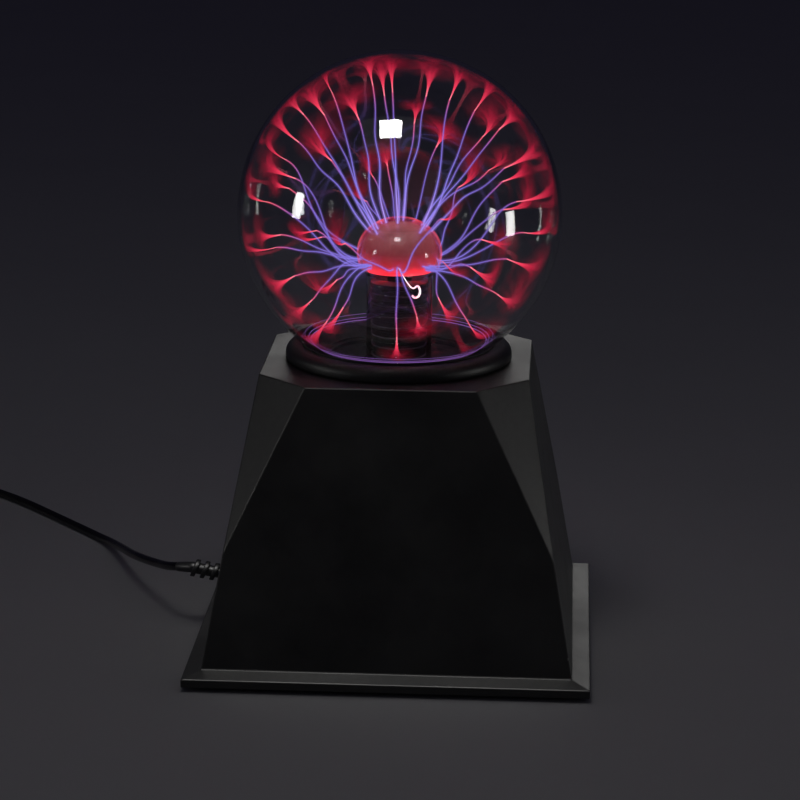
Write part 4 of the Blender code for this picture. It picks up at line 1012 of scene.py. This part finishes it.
class BALL_OT_discharge(bpy.types.Operator):
    """Glowing filaments from the electrode to the glass, and the red flares where they land"""

    bl_idname = "ball.discharge"
    bl_label = "Discharge"

    def execute(self, context):
        settings = context.scene.ball_discharge
        chance = random.Random(settings.seed)
        thread, cool = settings.thread, settings.thread_colour
        cores, hazes = [], []
        flares = bmesh.new()
        for number, (turn, rise, width) in enumerate(LANDINGS):
            start_share = 0.74 + 0.12 * chance.random()
            line = self.path(math.radians(turn), math.radians(rise), start_share, chance)
            count = len(line) - 1
            cores.append([(p, thread * (1.3 - 0.5 * i / count)) for i, p in enumerate(line)])
            hazes.append([(p, thread * (4.4 - 1.8 * i / count)) for i, p in enumerate(line)])
            self.flare(flares, line[-1], width / 1000, number, chance)
        core = discharge_finish(
            "filament_core",
            [(0.0, (0.55, 0.38, 0.85)), (0.30, scaled(cool, 1.35)), (0.66, tuple(cool)),
             (0.78, (0.70, 0.12, 0.25)), (0.86, (1.0, 0.16, 0.2))],
            [(0.0, 0.8), (0.35, 0.55), (0.6, 0.45), (0.86, 0.8)], 1.3,
        )
        haze = discharge_finish(
            "filament_haze",
            [(0.0, (0.5, 0.25, 0.9)), (0.35, tuple(cool)), (0.72, (0.3, 0.08, 0.55)),
             (0.85, (0.8, 0.05, 0.1))],
            [(0.0, 0.20), (0.4, 0.10), (0.86, 0.08)], 1.0,
        )
        for name, lines, look in (("filaments", cores, core), ("filament_haze", hazes, haze)):
            piece(name, swept_shape(lines, 2), look, sharp=180)
        # Painted reflection: three thin glowing rings just inside the glass above the collar stand in
        # for the discharge reflected in the lower glass.
        lines = []
        for height, radius in ((0.0016, 0.00026), (0.0028, 0.00018), (0.0046, 0.00012)):
            level = COLLAR_HIGH.z + height
            reach = math.sqrt((GLOBE_RADIUS * 0.97) ** 2 - (GLOBE_CENTRE.z - level) ** 2)
            ring = arc((0, 0), reach, 0, math.tau, 90)
            lines.append([(Vector((x, y, level)), radius) for x, y in ring])
        reflected_glow = discharge_finish(
            "painted_rim_reflection", [(0.9, (0.40, 0.12, 0.45)), (1.0, (0.30, 0.16, 0.60))], [(0.0, 0.12)], 0.7
        )
        piece("painted_rim_reflection", swept_shape(lines, 1), reflected_glow, sharp=180)
        gas = flare_finish("flare_gas", settings.flare_colour)
        piece("flares", flares, gas, sharp=180)
        self.bulb_glow()
        hook, tree, shader = new_material("spark")
        flicker = noise(tree, object_place(tree), 400.0)
        hot = colour_ramp(tree, flicker, [(0.35, (1.0, 0.35, 0.45)), (0.6, (1.0, 0.85, 0.9))])
        glowing(shader, 1.9, hot)
        piece("spark", swept_shape([self.spark(thread)], 2), hook, sharp=180)
        return {"FINISHED"}

    def path(self, turn, rise, share, chance):
        """A filament that leaves the bulb near its neighbours and then bows out to the glass."""
        trunk = round(turn / math.radians(45)) * math.radians(45)
        spread = (turn - trunk) * 0.3
        leave_turn = trunk + spread
        away = Vector((math.cos(leave_turn), math.sin(leave_turn), 0))
        outward = Vector((math.cos(turn), math.sin(turn), 0))
        middle = Vector((0, 0, BULB_WIDEST))
        to_glass = outward * math.cos(rise) + UP * math.sin(rise)
        end = GLOBE_CENTRE + to_glass * GLOBE_RADIUS * share
        if rise > math.radians(24):
            lift = math.radians(38 + 8 * chance.random()) + max(0, rise - math.radians(45)) * 0.7
            leave = away * math.cos(lift) + UP * math.sin(lift)
            start = middle + Vector((leave.x * 0.0256, leave.y * 0.0256, leave.z * 0.0212))
            bow = leave + UP * 0.35
        else:
            start = middle + away * 0.0247 - UP * (0.0045 + 0.003 * chance.random())
            bow = away + UP * (0.10 * chance.random())
        reach = (end - start).length
        first = start + bow.normalized() * reach * (0.38 + 0.10 * chance.random())
        last = end - (to_glass + UP * 0.5 * chance.random()) * reach * 0.30
        side = to_glass.cross(UP).normalized()
        over = side.cross(to_glass)
        waves = [
            (chance.uniform(0.8, 1.9), chance.uniform(0, math.tau), chance.uniform(0.3, 1.0))
            for _ in range(4)
        ]
        line = []
        for step in range(PATH_STEPS + 1):
            t = step / PATH_STEPS
            point = (
                start * (1 - t) ** 3 + first * 3 * t * (1 - t) ** 2
                + last * 3 * t**2 * (1 - t) + end * t**3
            )
            calm = math.sin(math.pi * t) * reach * 0.016
            for number, (beat, phase, size) in enumerate(waves):
                push = side if number % 2 else over
                point = point + push * calm * size * math.sin(math.tau * beat * t + phase)
            line.append(point)
        return line

    def flare(self, shape, apex, width, number, chance):
        """Nested flat trumpets that open from the filament's end and spread along the glass."""
        uv = shape.loops.layers.uv.get("UVMap") or shape.loops.layers.uv.new("UVMap")
        from_centre = apex - GLOBE_CENTRE
        nearest, outward = from_centre.length, from_centre.normalized()
        farthest = GLOBE_RADIUS * FLARE_REACH
        twist = chance.uniform(0, math.pi)
        squash = chance.uniform(0.35, 0.9)
        drift = chance.uniform(0.02, 0.20)
        steps, sides = FLARE_STEPS, FLARE_SIDES
        for layer, (narrow, lip) in enumerate(((1.0, 1.0), (0.55, 0.5), (1.3, 1.25))):
            rings = []
            for step in range(steps + 1):
                t = step / steps
                along = min(1.0, t / FLARE_TURN)
                stretch = farthest - 0.0004 * layer - nearest
                reach = nearest + stretch * math.sin(along * math.pi / 2)
                half = 0.0004 + width * 0.55 * narrow * along**2.2
                half += width * lip * max(0.0, t - FLARE_TURN) / (1 - FLARE_TURN) * 0.7
                heading = (outward + UP * drift * t * t).normalized()
                side = heading.cross(UP).normalized()
                over = side.cross(heading)
                ring = []
                for corner in range(sides):
                    angle = math.tau * corner / sides
                    wide, flat = math.cos(angle), math.sin(angle) * squash
                    one = wide * math.cos(twist) - flat * math.sin(twist)
                    two = wide * math.sin(twist) + flat * math.cos(twist)
                    spot = (heading + (side * one + over * two) * (half / reach)).normalized()
                    ring.append(shape.verts.new(GLOBE_CENTRE + spot * reach))
                rings.append(ring)
            for step in range(steps):
                for corner in range(sides):
                    after = (corner + 1) % sides
                    spots = (
                        (step, corner), (step, after), (step + 1, after), (step + 1, corner)
                    )
                    face = shape.faces.new([rings[row][column] for row, column in spots])
                    for loop, (row, column) in zip(face.loops, spots):
                        round_place = 1 - abs(2 * column / sides - 1)
                        loop[uv].uv = (row / steps, number * 1.7 + layer * 0.6 + round_place)

    def bulb_glow(self):
        """The thin layer of lit gas on the bulb, as fine upright and level fins."""
        near = bulb_outline(-0.00015, COATING_LOW.z + 0.001)[1:]
        lean = [math.atan2(r, (h - STEM_TOP + BULB_RISE) * 1.5) for r, h in near]
        far = [
            (radius + FIN_DEPTH * math.sin(angle), height + FIN_DEPTH * math.cos(angle))
            for (radius, height), angle in zip(near, lean)
        ]
        shape = bmesh.new()
        for number in range(FIN_COUNT):
            angle = math.tau * number / FIN_COUNT
            low, high = [
                [shape.verts.new((r * math.cos(angle), r * math.sin(angle), h)) for r, h in row]
                for row in (near[3:], far[3:])
            ]
            for edge in range(len(low) - 1):
                shape.faces.new((low[edge], low[edge + 1], high[edge + 1], high[edge]))
        for inside, outside in list(zip(near, far))[1:]:
            ends = [shape.verts.new((radius, 0, height)) for radius, height in (inside, outside)]
            bmesh.ops.spin(
                shape, geom=[*ends, shape.edges.new(ends)], cent=(0, 0, 0), axis=UP, dvec=(0, 0, 0),
                angle=math.tau, steps=FIN_COUNT, use_merge=True,
            )
        made, tree, shader = new_material("bulb_glow")
        flicker = noise(tree, object_place(tree), 90.0, 3.0)
        thin = value_ramp(tree, flicker, [(0.3, 0.035), (0.75, 0.10)])
        glow = colour_ramp(tree, flicker, [(0.35, (1.0, 0.05, 0.10)), (0.7, (1.0, 0.16, 0.24))])
        glowing(shader, 1.7, glow, thin)
        piece("bulb_glow", shape, made, sharp=180)

    def spark(self, thread):
        """The small bright hook that clings to the stem below the bulb."""
        base = Vector((0.0105, -0.0225, STEM_TOP - 0.040))
        loop = [
            (-0.0095, 0.014), (-0.005, 0.006), (-0.001, 0.0015), (0.002, 0.003),
            (0.0035, 0.0005), (0.003, -0.003), (0.0005, -0.0045), (-0.0012, -0.003),
        ]
        points = smooth_curve([(across, -0.001, height) for across, height in loop], 0.001)
        count = len(points) - 1
        return [
            (base + Vector(point), thread * (0.6 + 1.4 * min(1.0, 1.6 * i / count) ** 2))
            for i, point in enumerate(points)
        ]


class BALL_OT_collar(bpy.types.Operator):
    """The rounded ring around the globe's foot"""

    bl_idname = "ball.collar"
    bl_label = "Collar"

    def execute(self, context):
        rounding = context.scene.ball_body.collar_rounding
        bottom, top, radius = COLLAR_LOW.z, COLLAR_HIGH.z, COLLAR_HIGH.x
        socket = GLOBE_RADIUS + 0.0016
        at_bottom, at_rim = (
            math.sqrt(socket**2 - (GLOBE_CENTRE.z - height) ** 2)
            for height in (bottom, top - 0.001)
        )
        lowest = math.asin(at_bottom / socket) - math.pi / 2
        highest = math.asin(at_rim / socket) - math.pi / 2
        outline = [
            *arc((0, GLOBE_CENTRE.z), socket, lowest, highest, 8),
            (at_rim + 0.0004, top - 0.0005),
            (at_rim + 0.0014, top - 0.0001),
            *reversed(arc((radius - rounding, top - rounding), rounding, 0, math.pi / 2, 14)),
            (radius, bottom + 0.0009),
            (radius - 0.0003, bottom + 0.0003),
            (radius - 0.0009, bottom),
        ]
        piece(
            "collar", turned_shape(outline, 128), slot_finish("collar_plastic"),
            ["collar_ring"],
        )
        return {"FINISHED"}


class BALL_OT_feet(bpy.types.Operator):
    """Four round rubber feet with softened edges and a shallow dimple"""

    bl_idname = "ball.feet"
    bl_label = "Feet"

    def execute(self, context):
        for corner in ("front_left", "front_right", "rear_left", "rear_right"):
            low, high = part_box("foot_" + corner)
            middle = (low + high) / 2
            radius = (high.x - low.x) / 2
            outline = [
                (0, 0.0004), (radius * 0.45, 0.0004), (radius * 0.55, 0), (radius - 0.0009, 0),
                (radius - 0.0003, 0.0003), (radius, 0.0009), (radius - 0.0003, high.z), (0, high.z),
            ]
            shape = turned_shape(outline, 48)
            bmesh.ops.translate(shape, vec=(middle.x, middle.y, 0), verts=shape.verts)
            piece(
                "rubber_foot_" + corner, shape, slot_finish("black_rubber"),
                ["foot_" + corner],
            )
        return {"FINISHED"}


class BALL_OT_lead(bpy.types.Operator):
    """The mains lead from its ribbed strain relief to its coil, tie and plug"""

    bl_idname = "ball.lead"
    bl_label = "Mains lead"

    def execute(self, context):
        radius = context.scene.ball_lead.radius
        vinyl = slot_finish("cord_vinyl")
        pale = scaled(context.scene.ball_lead.colour, 2.2)
        matte = moulded("relief_vinyl", pale, 0.4, 1400.0, 0.00004)
        self.relief(matte, radius)
        line, rear, heading = self.centreline(radius)
        lead = curve_object("mains_lead", [[(point, radius) for point in line]], 5)
        lead.data.materials.append(vinyl)
        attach(lead, "base")
        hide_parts("cord_lead", "cord_coil", "cord_tail")
        tie = self.tie()
        plug = self.plug(vinyl, rear, heading)
        return {"FINISHED"}

    def relief(self, matte, radius):
        """A flange, three slanted ribs on a core, and a tail that narrows along the lead."""
        outward = Vector((-0.985, 0, 0.1725)).normalized()
        place = facing(outward, (UP - outward * outward.z).normalized(), LEAD_EXIT)
        first, start, width = 0.0025, RELIEF_PITCH * 1.25, 0.003
        soft = 0.0006
        rib, shoulder = RELIEF_RIB, RELIEF_RIB - soft * 0.3
        outline = [
            (0, 0.0003), (rib - 0.0005, 0.0003), (rib, 0.0008), (rib, first - 0.0005),
            (rib - 0.0005, first), (RELIEF_CORE, first),
        ]
        for number in range(3):
            low = start + number * RELIEF_PITCH
            high = low + width
            outline += [
                (RELIEF_CORE, low), (rib - soft, low), (shoulder, low + soft * 0.3),
                (rib, low + soft), (rib, high - soft), (shoulder, high - soft * 0.3),
                (rib - soft, high), (RELIEF_CORE, high),
            ]
        last = start + 2 * RELIEF_PITCH + width
        outline += [(RELIEF_CORE, last + 0.001), (0, last + 0.001)]
        ribs = turned_shape(outline, 40)
        for point in ribs.verts:
            if start - 0.001 < point.co.z < last + 0.0005:
                point.co.z -= point.co.y * math.tan(math.radians(13))
        bmesh.ops.transform(ribs, matrix=place, verts=ribs.verts)
        root = place @ Vector((0, 0, last - 0.002))
        line = smooth_curve([root, root + outward * 0.003, *LEAD_ROUTE[2:5]], 0.001)[:15]
        narrow = radius + 0.0003
        count = len(line) - 1
        sizes = [RELIEF_CORE + (narrow - RELIEF_CORE) * i / count for i in range(count + 1)]
        tail = swept_shape([list(zip(line, sizes))], 8)
        piece("lead_relief", joined(ribs, tail), matte, ["strain_relief"])

    def centreline(self, radius):
        """The lead's points: the free stretch, the coil's turns and the short tail to the plug."""
        lift = 0.0011
        outer, inner = COIL_RADIUS + radius, COIL_RADIUS - radius
        levels = [lift + radius * (1 + 2 * layer) for layer in range(3)]
        slots = [
            (outer, levels[0]), (inner, levels[0]), (inner, levels[1]), (outer, levels[1]),
            (outer, levels[2]),
        ]
        first_move, next_move, half_move = 335.0, 332.0, 13.0
        steps_per_turn = 30
        coil = []
        for step in range(round(COIL_TURNS * steps_per_turn) + 1):
            degrees = 360.0 * step / steps_per_turn
            reach, height = slots[0]
            for number in range(4):
                share = (degrees - (first_move + number * next_move - half_move)) / (2 * half_move)
                share = min(1.0, max(0.0, share))
                share = share * share * (3 - 2 * share)
                reach += (slots[number + 1][0] - slots[number][0]) * share
                height += (slots[number + 1][1] - slots[number][1]) * share
            angle = COIL_ENTRY + math.radians(degrees)
            spoke = Vector((reach * math.cos(angle), reach * math.sin(angle), height))
            coil.append(COIL_CENTRE + spoke)
        leave_angle = COIL_ENTRY + math.tau * COIL_TURNS
        radial = Vector((math.cos(leave_angle), math.sin(leave_angle), 0))
        heading = UP.cross(radial)
        leave = COIL_CENTRE + radial * outer
        rear = leave + heading * PLUG_START + UP * PLUG_HALF[1]
        tail = [
            leave + heading * 0.014 + UP * (levels[2] - 0.0008),
            leave + heading * 0.030 + UP * (PLUG_HALF[1] + 0.0022),
            rear,
            rear + heading * 0.004,
        ]
        return smooth_curve([*LEAD_ROUTE[:-1], *coil, *tail], 0.0035), rear, heading

    def tie(self):
        """A flat rubber band folded round the coil, with its end tucked under a small keeper."""
        low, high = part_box("cord_tie")
        outside = block_shape(low, high, 0.0030, along_y=True)
        wall = 0.0007
        cut = block_shape(
            (low.x + wall, low.y - 0.002, low.z + wall),
            (high.x - wall, high.y + 0.002, high.z - wall),
            0.0023, along_y=True,
        )
        keeper = block_shape(
            (low.x - 0.0004, low.y + 0.001, low.z + 0.006),
            (low.x + wall, high.y - 0.001, low.z + 0.0105), 0.0003,
        )
        band = self.hollowed(outside, cut)
        rubber = slot_finish("black_rubber")
        return piece("coil_tie", joined(band, keeper), rubber, ["cord_tie"])

    def hollowed(self, outside, inside):
        """The first shape less the second, as one bmesh."""
        pieces = []
        for name, shape in (("outside", outside), ("inside", inside)):
            bmesh.ops.recalc_face_normals(shape, faces=shape.faces)
            mesh = bpy.data.meshes.new(name)
            shape.to_mesh(mesh)
            shape.free()
            pieces.append(bpy.data.objects.new(name, mesh))
            bpy.context.scene.collection.objects.link(pieces[-1])
        cut = pieces[0].modifiers.new("cut", "BOOLEAN")
        cut.object = pieces[1]
        bpy.context.view_layer.update()
        graph = bpy.context.evaluated_depsgraph_get()
        mesh = bpy.data.meshes.new_from_object(pieces[0].evaluated_get(graph))
        made = bmesh.new()
        made.from_mesh(mesh)
        for guide in pieces:
            bpy.data.objects.remove(guide, do_unlink=True)
        return made

    def plug(self, vinyl, rear, heading):
        """A moulded two-pin plug with a waisted grip."""
        half_x, half_y = PLUG_HALF
        rings = [
            (half_x * 0.26, half_y * 0.55, 0), (half_x * 0.30, half_y * 0.62, 0.0008),
            (half_x * 0.32, half_y * 0.66, 0.004), (half_x * 0.38, half_y * 0.74, 0.007),
            (half_x * 0.52, half_y * 0.86, 0.012), (half_x * 0.66, half_y * 0.95, 0.016),
            (half_x * 0.84, half_y * 0.99, 0.0205), (half_x * 0.97, half_y, 0.0255),
            (half_x, half_y, 0.030), (half_x, half_y, PLUG_LENGTH - 0.0012),
            (half_x - 0.0004, half_y - 0.0004, PLUG_LENGTH - 0.0003),
            (half_x - 0.0010, half_y - 0.0010, PLUG_LENGTH),
        ]
        shape = stacked_shape(rings, 48, 3.4)
        bmesh.ops.transform(shape, matrix=facing(heading, UP, rear), verts=shape.verts)
        return piece("mains_plug", shape, vinyl, ["plug_body"], sharp=50)


class BALL_OT_switches(bpy.types.Operator):
    """The rear rocker's key and the slide knob, with softened edges and grip lines"""

    bl_idname = "ball.switches"
    bl_label = "Rear switches"

    def execute(self, context):
        plastic = slot_finish("switch_plastic")
        for node, body in (("rocker_key", "rocker"), ("slide_knob", "slider")):
            shape = bmesh.new()
            shape.from_mesh(frame["nodes"][node].data)
            bmesh.ops.remove_doubles(shape, verts=shape.verts, dist=1e-6)
            bmesh.ops.dissolve_limit(
                shape, angle_limit=math.radians(2), verts=shape.verts, edges=shape.edges
            )
            edges = [
                edge for edge in shape.edges
                if len(edge.link_faces) == 2 and edge.calc_face_angle() > 0.5
            ]
            bmesh.ops.bevel(
                shape, geom=edges, offset=0.00022, offset_type="OFFSET", segments=2,
                profile=0.5, affect="EDGES", clamp_overlap=True, material=-1,
            )
            made = piece(
                node + "_finished", shape, plastic, [node], body=body, sharp=30
            )
            lit_from_behind().objects.link(made)
        return {"FINISHED"}


class BALL_PT_panel(bpy.types.Panel):
    """Lists the sizes, colours and steps of the plasma ball"""

    bl_idname = "BALL_PT_panel"
    bl_label = "Plasma ball"
    bl_space_type = "VIEW_3D"
    bl_region_type = "UI"
    bl_category = "Plasma ball"

    def draw(self, context):
        scene = context.scene
        for title, names, settings, steps in (
            ("Globe", ("wall", "tint", "coating"), scene.ball_globe,
             ("ball.globe", "ball.electrode")),
            ("Discharge", ("thread", "thread_colour", "flare_colour", "seed"), scene.ball_discharge,
             ("ball.discharge",)),
            ("Body", ("plastic", "roughness", "collar_rounding"), scene.ball_body,
             ("ball.cad_finishes", "ball.collar", "ball.feet", "ball.switches")),
            ("Lead", ("radius", "colour"), scene.ball_lead, ("ball.lead",)),
            ("Stage", ("floor", "key", "softbox", "glint"), scene.ball_stage, ("ball.stage",)),
        ):
            box = self.layout.box()
            box.label(text=title)
            for name in names:
                box.prop(settings, name)
            for step in steps:
                box.operator(step)


SETTINGS = {
    "ball_globe": GlobeSettings,
    "ball_discharge": DischargeSettings,
    "ball_body": BodySettings,
    "ball_lead": LeadSettings,
    "ball_stage": StageSettings,
}
OPERATORS = (
    BALL_OT_stage,
    BALL_OT_cad_finishes,
    BALL_OT_lead,
    BALL_OT_globe,
    BALL_OT_electrode,
    BALL_OT_discharge,
    BALL_OT_collar,
    BALL_OT_feet,
    BALL_OT_switches,
)


def register():
    for kind in (*SETTINGS.values(), *OPERATORS, BALL_PT_panel):
        bpy.utils.register_class(kind)
    for name, kind in SETTINGS.items():
        setattr(bpy.types.Scene, name, bpy.props.PointerProperty(type=kind))


def unregister():
    for name in SETTINGS:
        delattr(bpy.types.Scene, name)
    for kind in (BALL_PT_panel, *reversed(OPERATORS), *reversed(SETTINGS.values())):
        bpy.utils.unregister_class(kind)


def main():
    register()
    bpy.ops.ball.stage()
    bpy.ops.ball.cad_finishes()
    bpy.ops.ball.lead()
    bpy.ops.ball.globe()
    bpy.ops.ball.electrode()
    bpy.ops.ball.discharge()
    bpy.ops.ball.collar()
    bpy.ops.ball.feet()
    bpy.ops.ball.switches()


if __name__ == "__main__":
    main()
